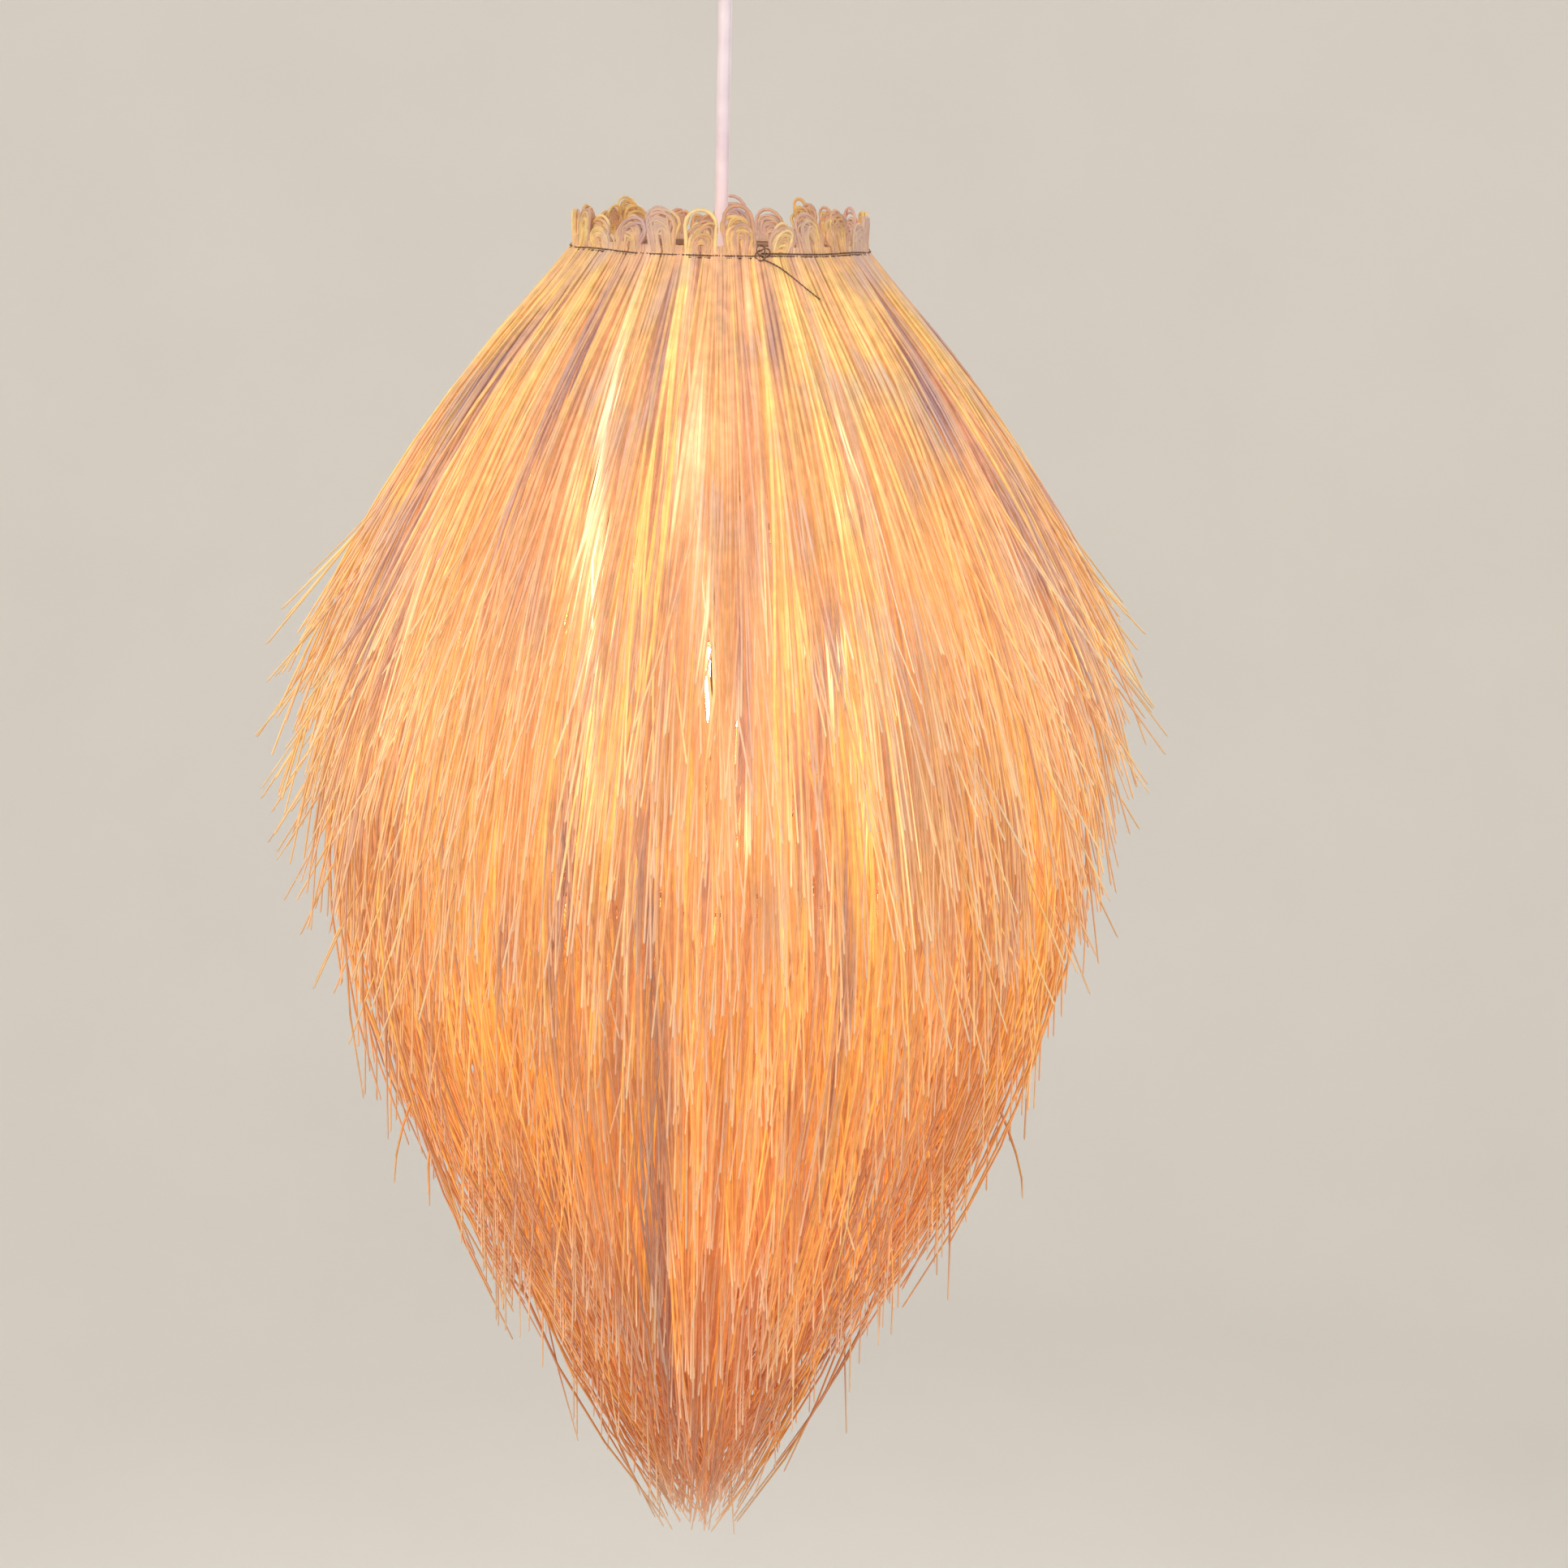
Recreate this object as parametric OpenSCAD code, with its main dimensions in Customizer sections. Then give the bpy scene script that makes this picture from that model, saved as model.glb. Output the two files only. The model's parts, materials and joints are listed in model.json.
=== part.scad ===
// Pendant lamp: tufts of dry straw, bent double and tied to a wire frame, hung by a cord from a ceiling cup.
// Millimetres, +Z up. The origin is the middle of the bracket's top face, which lies against the ceiling.

/* [Ceiling fitting] */
// Outside diameter of the ceiling cup
cup_d = 100; // [92:1:130]
// Depth of the ceiling cup
cup_h = 28; // [26:1:40]
// Wall of the ceiling cup
cup_wall = 1.2; // [0.8:0.1:2]
// Rounding of the cup's lower edge
cup_edge_r = 8; // [4:0.5:10]
// Thickness of the bracket strap
bracket_t = 2; // [1.5:0.1:3]
// Width of the bracket strap
bracket_w = 20; // [18:1:24]
// Depth of the bracket's turned-down ears
ear_h = 14; // [12:0.5:17]
// Distance between the middles of the two ceiling screw slots
screw_spacing = 60; // [54:1:64]
// Length of a ceiling screw slot, end to end
slot_len = 14; // [8:0.5:16]
// Width of a ceiling screw slot
slot_w = 5.2; // [4:0.1:6]
// Diameter of the two side screws
side_screw_d = 4; // [3:0.1:5]
// Diameter of the side screws' heads
side_head_d = 9; // [7:0.5:11]
// Width of the terminal block along the bracket
block_w = 13; // [11:0.5:14]
// Length of the terminal block across the bracket
block_l = 20; // [18:0.5:24]
// Depth of the terminal block
block_h = 11; // [10:0.5:12]
// Distance between the two poles of the terminal block
pole_pitch = 10; // [9:0.5:11]

/* [Cord and gland] */
// Diameter of the round cord
cord_d = 6; // [5:0.1:6.5]
// Diameter of one insulated core of the cord
core_d = 2.2; // [1.8:0.1:2.4]
// Free cord between the gland's mouth and the top of the straw
cord_free = 100; // [98:1:104]
// How far the cord can swing each way, in degrees
swing_limit = 20; // [10:1:24]
// Length of the gland below the cup
gland_drop = 18; // [16:0.5:22]
// Depth of the gland's bell mouth
bell_depth = 10; // [8:0.5:12]
// Diameter of the gland's threaded shank
shank_d = 10; // [9:0.5:12]
// Length of the gland's threaded shank
shank_len = 10; // [8:0.5:11]
// Thickness of the gland's nut
nut_t = 4; // [3:0.5:5]

/* [Lamp holder] */
// Diameter of the holder's threaded skirt
skirt_d = 39.4; // [38:0.2:41]
// Length of the holder's skirt below the seat
skirt_len = 38; // [36:1:44]
// Wall of the holder's skirt
skirt_wall = 2.2; // [1.6:0.1:2.6]
// Diameter of the holder's seating flange
flange_d = 46; // [44:0.5:50]
// Thickness of the holder's seating flange
flange_t = 4; // [3:0.5:6]
// Diameter of the holder cap
cap_d = 42; // [40:0.5:44]
// Height of the holder cap
cap_h = 30; // [28:0.5:32]
// Diameter of the holder cap's neck
cap_neck_d = 18; // [15:0.5:20]
// Wall of the holder cap
cap_wall = 2; // [1.5:0.1:2.5]
// Thickness of the socket core
core_t = 9; // [7:0.5:10]
// Outside diameter of the shade ring
shade_ring_d = 54; // [50:1:58]
// Height of the shade ring
shade_ring_h = 8; // [6:0.5:10]

/* [Bulb] */
// Diameter of the bulb's screw cap
screw_d = 26; // [25.6:0.1:26.2]
// Length of the screw cap's sleeve
screw_len = 21; // [19:0.5:23]
// Diameter of the bulb's globe
globe_d = 60; // [56:1:66]
// Wall of the bulb's globe
globe_wall = 1.2; // [0.8:0.1:1.6]
// Length of the tapered housing between screw cap and globe
housing_len = 34; // [30:1:40]
// Diameter of the housing's rim
housing_d = 54; // [50:1:55]

/* [Wire frame] */
// Diameter of the neck ring, at the middle of its wire
neck_ring_d = 122; // [118:1:126]
// Diameter of the middle ring
middle_ring_d = 220; // [210:1:230]
// Diameter of the lower ring
lower_ring_d = 170; // [160:1:176]
// Depth of the neck ring below the top of the straw
neck_ring_drop = 21; // [19:0.5:23]
// Depth of the middle ring, which carries the spider, below the top of the straw
middle_ring_drop = 130; // [122:1:138]
// Depth of the lower ring below the top of the straw
lower_ring_drop = 300; // [285:1:310]
// Wire of the three rings
ring_wire_d = 3; // [2.4:0.1:3.4]
// Wire of the ribs
rib_wire_d = 2.4; // [2:0.1:2.6]
// Wire of the spider's arms
arm_wire_d = 2.4; // [2:0.1:2.6]
// Width of the spider's centre ring
spider_ring_w = 7; // [5:0.5:9]
// Thickness of the spider's centre ring
spider_t = 2; // [1.5:0.1:3]

/* [Straw] */
// Largest diameter of the straw shade
belly_d = 400; // [390:1:410]
// Depth of the largest diameter below the top of the straw
belly_drop = 235; // [225:1:245]
// Height of the straw shade
shade_h = 660; // [640:1:680]
// Lean of the straw where it leaves the neck, from the vertical
shoulder_angle = 42; // [38:0.5:46]
// Thickness of a folded tuft
tuft_t = 3.6; // [3:0.1:3.8]
// Width of one leg of a top tuft, which is bent double
top_leg_w = 5.4; // [4.8:0.1:5.6]
// Width of a tuft of the two hidden tiers
inner_tuft_w = 15; // [13:0.5:16]
// Half thickness of a straw strand
strand_r = 1.9; // [1.6:0.1:2]
// Diameter of the binding twine
twine_d = 1.6; // [1.2:0.1:2]
// Rise of the binding from turn to turn
twine_pitch = 2.2; // [2.1:0.1:3]

/* [Hidden] */
$fn = 64;
// Clearances
slip = 0.3;
weld_gap = 0.1;
thread_gap = 0.4;
cord_gap = 0.5;
swing_room = 4;
// Heights of the ceiling fitting
cup_r = cup_d / 2;
cup_in_r = cup_r - cup_wall;
cup_floor_z = cup_wall - cup_h;
ear_x = sqrt(pow(cup_in_r - slip, 2) - pow(bracket_w / 2, 2));
side_screw_z = side_head_d / 2 - ear_h;
side_head_t = 4;
mouth_z = -cup_h - gland_drop;
pivot_z = mouth_z + bell_depth;
shank_top_z = shank_len - cup_h;
stub_rise = 4;
stub_top_z = shank_top_z + stub_rise;
cord_bore_r = cord_d / 2 + cord_gap;
mouth_r = cord_bore_r + bell_depth * tan(swing_limit + swing_room);
gland_wall = 1.6;
mouth_edge_r = 0.8;
gland_r = mouth_r + gland_wall;
gland_flange_w = 2;
gland_flange_r = max(gland_r, shank_d / 2) + gland_flange_w;
gland_flange_t = 3;
nut_w = 4;
nut_r = shank_d / 2 + nut_w;
block_room = 4;
block_face_x = -cord_d / 2 - block_room;
block_x = block_face_x - block_w / 2;
block_bottom_z = -bracket_t - block_h;
wire_hole_r = core_d / 2 + slip;
core_y = core_d / 2 + slip;
wire_z = -bracket_t - block_h / 2;
clamp_screw_d = 3;
clamp_screw_step = block_w / 4;
// Places of the wire frame, as radius and height
top_z = mouth_z - cord_free;
neck_ring = [neck_ring_d / 2, top_z - neck_ring_drop];
middle_ring = [middle_ring_d / 2, top_z - middle_ring_drop];
lower_ring = [lower_ring_d / 2, top_z - lower_ring_drop];
arm_azimuths = [15, 135, 255];
rib_count = 6;
butt_gap = ring_wire_d / 2 + weld_gap;
rib_lap = (ring_wire_d + rib_wire_d) / 2 + slip;
// Heights of the lamp holder, which sits on the spider in the middle ring, and of the bulb
seat_z = middle_ring[1] + spider_t - slip - arm_wire_d / 2;
flange_top_z = seat_z + flange_t;
cap_top_z = flange_top_z + cap_h;
cap_wall_h = 6;
grip_z = cap_top_z - 5;
grip_d = 3;
skirt_r = skirt_d / 2;
skirt_in_r = skirt_r - skirt_wall;
skirt_end_z = seat_z - skirt_len;
core_bottom_z = flange_top_z - core_t;
ledge_w = 2;
ledge_t = 2;
socket_screw_x = 9;
socket_screw_d = 3;
socket_screw_depth = 5;
socket_head_d = 5.6;
socket_head_t = 1.6;
shell_wall = 0.5;
shell_r = screw_d / 2 + thread_gap + shell_wall;
shell_len = screw_len + 6;
tongue_drop = 3.2;
tongue_t = 0.6;
tongue_w = 6;
tongue_root = 9;
tongue_bend = 3;
tip_r = 4.5;
tip_t = 1.4;
tip_top_z = core_bottom_z - tongue_drop - tongue_t - slip;
insulator_t = 4;
screw_top_z = tip_top_z - tip_t - insulator_t;
screw_wall = 0.6;
housing_top_z = screw_top_z - screw_len;
rim_z = housing_top_z - housing_len;
housing_wall = 2;
globe_r = globe_d / 2;
globe_neck_r = housing_d / 2 - 0.6;
globe_z = rim_z - sqrt(pow(globe_r, 2) - pow(globe_neck_r, 2));
board_t = 1.6;
board_r = globe_neck_r - globe_wall - 1;
// Centre ring of the spider
spider_in_r = skirt_r + 2 * slip;
spider_r = spider_in_r + spider_ring_w;
// Route of the cord, from the gland's waist down into the holder cap
cord_entry = 10;
cord_end_z = cap_top_z - cord_entry;
cord_steps = 15;
cord_route = [for (i = [0:cord_steps]) [0, 0, between([pivot_z, cord_end_z], i / cord_steps)]];
cord_sides = 12;
core_sides = 8;
// Fold of a tuft round its ring's wire
fold_in_r = ring_wire_d / 2 + slip;
fold_r = fold_in_r + tuft_t;
// Straw counts: groups of a tier, tufts of a group, strands of a top tuft's leg and of an inner tuft
top_groups = 12;
inner_groups = 6;
top_tufts = 2;
inner_tufts = 4;
top_strands = 3;
middle_strands = 4;
lower_strands = 3;
strand_sides = 3;
// Legs of the tufts below their ring
top_leg = 7;
inner_leg = 16;
back_leg = 11;
// How far a strand starts inside its leg
root_in = 2.5;
// Bend of a top tuft: middle of its legs, radius of the bend, and how far the bends differ in height
top_pitch = 360 / (top_groups * top_tufts);
leg_r = neck_ring[0] + (fold_in_r + fold_r) / 2;
leg_y = leg_r * tan(top_pitch / 4);
bend_r = leg_y + top_leg_w / 2;
bend_lift = 5.6;
// Depths of the strands' tips below the top of the straw, least and most of a tier
top_tips = [172, 335];
middle_tips = [325, 520];
lower_tips = [455, 655];
// How far the tips end inside the shade's outline
top_tips_in = [0, 7];
middle_tips_in = [0, 6];
lower_tips_in = [3, 9];
// Leans of the strands where they leave their legs, from the vertical
top_leans = [shoulder_angle + 2, shoulder_angle + 4];
middle_leans = [25, 42];
lower_leans = [4, 16];
// How far inside the belly the middle tier's tips stay, and least radius of the tips
tier_gap = 30;
tip_min_r = 18;
// The shade's outline as two curves of three points each, from neck to belly and from belly to tip
neck_pt = [neck_ring[0] + fold_r, neck_ring[1] - top_leg + 3];
belly_pt = [belly_d / 2, top_z - belly_drop];
shoulder_pt = [belly_pt[0], neck_pt[1] - (belly_pt[0] - neck_pt[0]) / tan(shoulder_angle)];
tail_pt = [8, top_z - shade_h];
tail_slope = 0.74;
hip_pt = [belly_pt[0], tail_pt[1] + (belly_pt[0] - tail_pt[0]) / tail_slope];
// Bindings
twine_turns = 2;
twine_steps = 24;
twine_sides = 6;
knot_azimuth = -75;
neck_twine_z = neck_ring[1] + twine_turns * twine_pitch / 2;
inner_twine_drop = 5.5;
// Loose tail of the neck binding: turn, way out and way down from the end of the last turn
twine_tail = [[6, 2.5, 3], [12, 6, 8], [17, 11, 14], [21, 16, 19]];

// Points of a round stretch of an outline
function arc(c, r, from, to, steps = 8) =
    [for (i = [0:steps]) let (a = from + (to - from) * i / steps) c + r * [cos(a), sin(a)]];
// A point at an azimuth, a radius and a height
function polar(azimuth, r, z) = [r * cos(azimuth), r * sin(azimuth), z];
function across(azimuth) = [-sin(azimuth), cos(azimuth), 0];
function unit(v) = v / norm(v);
// An even scatter between 0 and 1, by golden-ratio steps
function scatter(i, start) = let (x = i * 0.618034 + start) x - floor(x);
function between(range, share) = range[0] + (range[1] - range[0]) * share;
// A curve of three points, and its radius at a height
function curve(p, t) = pow(1 - t, 2) * p[0] + 2 * t * (1 - t) * p[1] + t * t * p[2];
function curve_r(p, z) =
    let (a = p[0][1] - 2 * p[1][1] + p[2][1])
    let (b = 2 * (p[1][1] - p[0][1]))
    let (c = p[0][1] - z)
    curve(p, 2 * c / (-b + sqrt(b * b - 4 * a * c)))[0];
// Radius of the shade's outline at a height
function shade_r(z) = z > belly_pt[1]
    ? curve_r([neck_pt, shoulder_pt, belly_pt], min(z, neck_pt[1]))
    : curve_r([belly_pt, hip_pt, tail_pt], max(z, tail_pt[1]));

// Rings of points round a path, square to it
function path_way(path, i) = unit(path[min(i + 1, len(path) - 1)] - path[max(i - 1, 0)]);
function path_ring(path, i, r, sides, side) =
    let (way = path_way(path, i))
    let (u = unit(cross(way, side)))
    let (v = cross(way, u))
    [for (j = [0:sides - 1]) path[i] + r * (cos(360 * j / sides) * u + sin(360 * j / sides) * v)];
function tube_faces(rings, sides) = concat(
    [for (j = [1:sides - 2]) [0, j, j + 1]],
    [for (i = [0:rings - 2], j = [0:sides - 1], half = [0, 1])
        let (a = i * sides + j, b = i * sides + (j + 1) % sides)
        half == 0 ? [a, a + sides, b + sides] : [a, b + sides, b]],
    [for (j = [1:sides - 2]) let (e = (rings - 1) * sides) [e, e + j + 1, e + j]]
);
// A tube along a path, with a radius and a sideways direction for each point
module tube(path, radii, sides, side) {
    rings = [for (i = [0:len(path) - 1]) path_ring(path, i, radii[i], sides, side[i])];
    polyhedron(points = [for (ring = rings) each ring], faces = tube_faces(len(path), sides));
}
module even_tube(path, d, sides, side) {
    tube(path, [for (p = path) d / 2], sides, [for (p = path) side]);
}
// A straight round rod between two points
module rod(from, to, d) {
    way = to - from;
    translate(from)
        rotate([0, acos(way.z / norm(way)), atan2(way.y, way.x)])
            cylinder(h = norm(way), d = d);
}

// Ceiling fitting
module slot_cut(x) {
    for (end = [-1, 1])
        translate([x + end * (slot_len - slot_w) / 2, 0, -bracket_t - 1])
            cylinder(h = bracket_t + 2, d = slot_w);
    translate([x - (slot_len - slot_w) / 2, -slot_w / 2, -bracket_t - 1])
        cube([slot_len - slot_w, slot_w, bracket_t + 2]);
}
module ceiling_bracket() color("#b9bcc0") difference() {
    union() {
        translate([-ear_x, -bracket_w / 2, -bracket_t])
            cube([2 * ear_x, bracket_w, bracket_t]);
        for (x = [-ear_x, ear_x - bracket_t])
            translate([x, -bracket_w / 2, -ear_h])
                cube([bracket_t, bracket_w, ear_h]);
    }
    for (side = [-1, 1])
        slot_cut(side * screw_spacing / 2);
    translate([-cup_r, 0, side_screw_z])
        rotate([0, 90, 0])
            cylinder(h = cup_d, d = side_screw_d + slip);
}
module ceiling_cup() color("#efece6") difference() {
    rotate_extrude()
        polygon(concat(
            [[shank_d / 2 + slip, -cup_h]],
            arc([cup_r - cup_edge_r, cup_edge_r - cup_h], cup_edge_r, -90, 0),
            [[cup_r, 0], [cup_in_r, 0]],
            arc([cup_r - cup_edge_r, cup_edge_r - cup_h], cup_edge_r - cup_wall, 0, -90),
            [[shank_d / 2 + slip, cup_floor_z]]
        ));
    translate([-cup_d, 0, side_screw_z])
        rotate([0, 90, 0])
            cylinder(h = 2 * cup_d, d = side_screw_d + slip);
}
module cup_screws() color("#d8d6d0")
    for (turn = [0, 180])
        rotate([0, 0, turn])
            translate([0, 0, side_screw_z])
                rotate([0, 90, 0]) {
                    translate([0, 0, ear_x - bracket_t - 2])
                        cylinder(h = cup_r + 1 - ear_x + bracket_t + 2, d = side_screw_d);
                    translate([0, 0, cup_r + weld_gap])
                        cylinder(h = side_head_t, d1 = side_head_d, d2 = side_head_d - 1.5);
                }
module cord_gland() color("#e9e6df")
    rotate_extrude()
        polygon(concat(
            [[cord_bore_r, shank_top_z], [shank_d / 2, shank_top_z], [shank_d / 2, -cup_h]],
            [[gland_flange_r, -cup_h], [gland_flange_r, -cup_h - gland_flange_t]],
            [[gland_r, -cup_h - gland_flange_t]],
            arc([gland_r - mouth_edge_r, mouth_z + mouth_edge_r], mouth_edge_r, 0, -90, 4),
            [[mouth_r, mouth_z], [cord_bore_r, pivot_z]]
        ));
module gland_nut() color("#c9c9c9")
    translate([0, 0, cup_floor_z])
        difference() {
            cylinder(h = nut_t, r = nut_r, $fn = 6);
            translate([0, 0, -1])
                cylinder(h = nut_t + 2, d = shank_d + slip);
        }
module clamp_screw_places() {
    for (x = [-1, 1], y = [-1, 1])
        translate([block_x + x * clamp_screw_step, y * pole_pitch / 2, block_bottom_z])
            children();
}
module terminal_block() color("#f4f1e6") difference() {
    translate([block_x - block_w / 2, -block_l / 2, block_bottom_z])
        cube([block_w, block_l, block_h]);
    for (y = [-1, 1])
        translate([block_x - block_w, y * pole_pitch / 2, wire_z])
            rotate([0, 90, 0])
                cylinder(h = 2 * block_w, r = wire_hole_r);
    clamp_screw_places()
        translate([0, 0, -1])
            cylinder(h = wire_z - block_bottom_z + 1, d = clamp_screw_d + 2 * weld_gap);
}
module terminal_screws() color("#c8a850")
    clamp_screw_places()
        translate([0, 0, weld_gap])
            cylinder(h = wire_z - block_bottom_z - core_d / 2 - 2 * weld_gap, d = clamp_screw_d);
module ceiling_cores() color("#3f6fb0")
    for (y = [-1, 1])
        even_tube([
            [0, y * core_y, stub_top_z + slip],
            [0, y * core_y, between([stub_top_z, wire_z], 0.35)],
            [block_face_x / 3, y * between([core_y, pole_pitch / 2], 0.6), between([stub_top_z, wire_z], 0.9)],
            [block_face_x * 0.75, y * pole_pitch / 2, wire_z],
            [block_face_x - 3, y * pole_pitch / 2, wire_z]
        ], core_d, core_sides, [0, 1, 0]);

// Cord
module cord_stub() color("#e8e2dc") {
    stub_gap = cord_d / 2 * sin(swing_limit) + slip;
    translate([0, 0, pivot_z + stub_gap])
        cylinder(h = stub_top_z - pivot_z - stub_gap, d = cord_d);
}
module pendant_cord() color("#e8e2dc")
    even_tube(cord_route, cord_d, cord_sides, [1, 0, 0]);

// Lamp holder
module holder_cap() color("#ece8df") difference() {
    rotate_extrude()
        polygon(concat(
            [[cap_d / 2 - cap_wall, flange_top_z], [cap_d / 2, flange_top_z]],
            arc([cap_neck_d / 2, flange_top_z + cap_wall_h], (cap_d - cap_neck_d) / 2, 0, 90),
            [[cap_neck_d / 2, cap_top_z], [cord_bore_r, cap_top_z]],
            [[cord_bore_r, flange_top_z + cap_wall_h + (cap_d - cap_neck_d) / 2 - cap_wall]],
            arc([cap_neck_d / 2, flange_top_z + cap_wall_h], (cap_d - cap_neck_d) / 2 - cap_wall, 90, 0)
        ));
    translate([0, 0, grip_z])
        rotate([0, 90, 0])
            cylinder(h = cap_neck_d, d = grip_d + 2 * weld_gap);
}
module cord_grip_screw() color("#e4dfd4")
    translate([0, 0, grip_z])
        rotate([0, 90, 0]) {
            translate([0, 0, cord_d / 2 + weld_gap])
                cylinder(h = cap_neck_d / 2 - cord_d / 2 + 1, d = grip_d);
            translate([0, 0, cap_neck_d / 2 + weld_gap])
                cylinder(h = 2.2, d = grip_d + 2.4);
        }
module holder_body() color("#ece8df")
    rotate_extrude()
        polygon([
            [skirt_in_r, flange_top_z], [flange_d / 2, flange_top_z], [flange_d / 2, seat_z],
            [skirt_r, seat_z], [skirt_r, skirt_end_z], [skirt_in_r, skirt_end_z],
            [skirt_in_r, core_bottom_z - ledge_t], [skirt_in_r - ledge_w, core_bottom_z - ledge_t],
            [skirt_in_r - ledge_w, core_bottom_z], [skirt_in_r, core_bottom_z]
        ]);
module socket_screw_places() {
    for (x = [-1, 1])
        translate([x * socket_screw_x, 0, flange_top_z])
            children();
}
module socket_core() color("#f2efe8") difference() {
    translate([0, 0, core_bottom_z])
        cylinder(h = core_t, r = skirt_in_r - weld_gap);
    socket_screw_places()
        translate([0, 0, -socket_screw_depth])
            cylinder(h = socket_screw_depth + 1, d = socket_screw_d + 2 * weld_gap);
}
module socket_screws() color("#c8a850")
    socket_screw_places() {
        translate([0, 0, weld_gap - socket_screw_depth])
            cylinder(h = socket_screw_depth, d = socket_screw_d);
        translate([0, 0, weld_gap])
            cylinder(h = socket_head_t, d = socket_head_d);
    }
module holder_cores() color("#7a4a2a") {
    start = [core_d / 2 + weld_gap, cord_end_z - weld_gap];
    end = [socket_screw_x, flange_top_z + socket_head_t + 2 * weld_gap];
    for (x = [-1, 1])
        even_tube([
            [x * start[0], 0, start[1]],
            [x * (start[0] + 0.4), 0, between([start[1], end[1]], 0.25)],
            [x * between([start[0], end[0]], 0.45), 0, between([start[1], end[1]], 0.6)],
            [x * end[0], 0, between([start[1], end[1]], 0.88)],
            [x * end[0], 0, end[1]]
        ], core_d, core_sides, [0, 1, 0]);
}
module socket_shell() color("#c9a24a")
    translate([0, 0, core_bottom_z - shell_len])
        difference() {
            cylinder(h = shell_len, r = shell_r);
            translate([0, 0, -1])
                cylinder(h = shell_len + 2, r = shell_r - shell_wall);
        }
module centre_contact() color("#c9a24a")
    translate([0, tongue_w / 2, core_bottom_z])
        rotate([90, 0, 0])
            linear_extrude(tongue_w)
                polygon([
                    [-tongue_root, 0], [-tongue_bend, 0], [tip_r, -tongue_drop],
                    [tip_r, -tongue_drop - tongue_t], [-tongue_bend, -tongue_t], [-tongue_root, -tongue_t]
                ]);
module shade_ring() color("#ece8df")
    rotate_extrude()
        polygon([
            [skirt_r + slip, seat_z - spider_t], [shade_ring_d / 2, seat_z - spider_t],
            [shade_ring_d / 2, seat_z - spider_t - shade_ring_h / 3],
            [shade_ring_d / 2 - 3, seat_z - spider_t - shade_ring_h / 2],
            [shade_ring_d / 2 - 3.5, seat_z - spider_t - shade_ring_h],
            [skirt_r + slip, seat_z - spider_t - shade_ring_h]
        ]);

// Wire frame
module wire_ring(place) {
    rotate_extrude()
        translate(place)
            circle(d = ring_wire_d);
}
// Ribs between two rings, from and to as radius and height
module ribs(from, to, turn) {
    for (i = [0:rib_count - 1]) {
        a = (i + turn) * 360 / rib_count;
        rod(polar(a, from[0], from[1]), polar(a, to[0], to[1]), rib_wire_d);
    }
}
module spider() color("#86694f") {
    foot = [spider_r - arm_wire_d / 2, middle_ring[1]];
    reach = [middle_ring[0] - butt_gap, middle_ring[1]];
    union() {
        translate([0, 0, seat_z - spider_t])
            difference() {
                cylinder(h = spider_t, r = spider_r);
                translate([0, 0, -1])
                    cylinder(h = spider_t + 2, r = spider_in_r);
            }
        for (a = arm_azimuths)
            rod(polar(a, foot[0], foot[1]), polar(a, reach[0], reach[1]), arm_wire_d);
    }
}
module neck_ring_wire() color("#86694f") wire_ring(neck_ring);
module middle_ring_wire() color("#86694f") wire_ring(middle_ring);
module lower_ring_wire() color("#86694f") wire_ring(lower_ring);
// The upper ribs start on the inner side of the neck ring, beside its wire
module upper_ribs() color("#86694f") {
    way = unit(middle_ring - neck_ring);
    ribs(neck_ring + rib_lap * [way[1], -way[0]] - way * ring_wire_d / 2, middle_ring - way * butt_gap, 0);
}
module lower_ribs() color("#86694f") {
    way = unit(lower_ring - middle_ring);
    ribs(middle_ring + way * butt_gap, lower_ring - way * butt_gap, 0.5);
}

// Straw: a top tuft, bent double sideways, with both legs against the outside of the neck ring
module bent_tuft(bend_z) {
    gap_r = leg_y - top_leg_w / 2;
    foot_z = neck_ring[1] - top_leg;
    translate([neck_ring[0] + fold_in_r, 0, 0])
        rotate([90, 0, 90])
            linear_extrude(tuft_t)
                polygon(concat(
                    [[-bend_r, foot_z]],
                    arc([0, bend_z], bend_r, 180, 0, 12),
                    [[bend_r, foot_z], [gap_r, foot_z]],
                    arc([0, bend_z], gap_r, 0, 180, 6),
                    [[-gap_r, foot_z]]
                ));
}
// The fold of an inner tuft over its ring's wire
module tuft_fold(ring) {
    rotate([90, 0, 0])
        translate([ring[0], ring[1], -inner_tuft_w / 2])
            linear_extrude(inner_tuft_w)
                polygon(concat(
                    [[fold_in_r, -inner_leg], [fold_r, -inner_leg]],
                    arc([0, 0], fold_r, 0, 180),
                    [[-fold_r, -back_leg], [-fold_in_r, -back_leg]],
                    arc([0, 0], fold_in_r, 180, 0)
                ));
}
// Line of a strand as three points of radius and height: it leaves its root at a lean and bows down to its tip
function bow(root, lean, tip) = [root, root + norm(tip - root) / 2 * [sin(lean), -cos(lean)], tip];
// Line of a tier's strand, scattered within the tier's tip depths, tip insets and leans
function strand_line(i, root, tips, tips_in, leans, tip_max_r) =
    let (tip_z = top_z - between(tips, scatter(i, 0.31)))
    let (tip_r = shade_r(tip_z) - between(tips_in, scatter(i * 3, 0.5)))
    bow(root, between(leans, scatter(i * 5, 0.3)), [max(tip_min_r, min(tip_r, tip_max_r)), tip_z]);
// One strand along its line, which fans out from its tuft's middle
module strand(line, middle, fan, radii) {
    steps = len(radii) - 1;
    points = [for (i = [0:steps]) curve(line, i / steps)];
    azimuths = [for (i = [0:steps]) middle + between(fan, i / steps)];
    path = [for (i = [0:steps]) polar(azimuths[i], points[i][0], points[i][1])];
    tube(path, radii, strand_sides, [for (a = azimuths) across(a)]);
}
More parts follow.
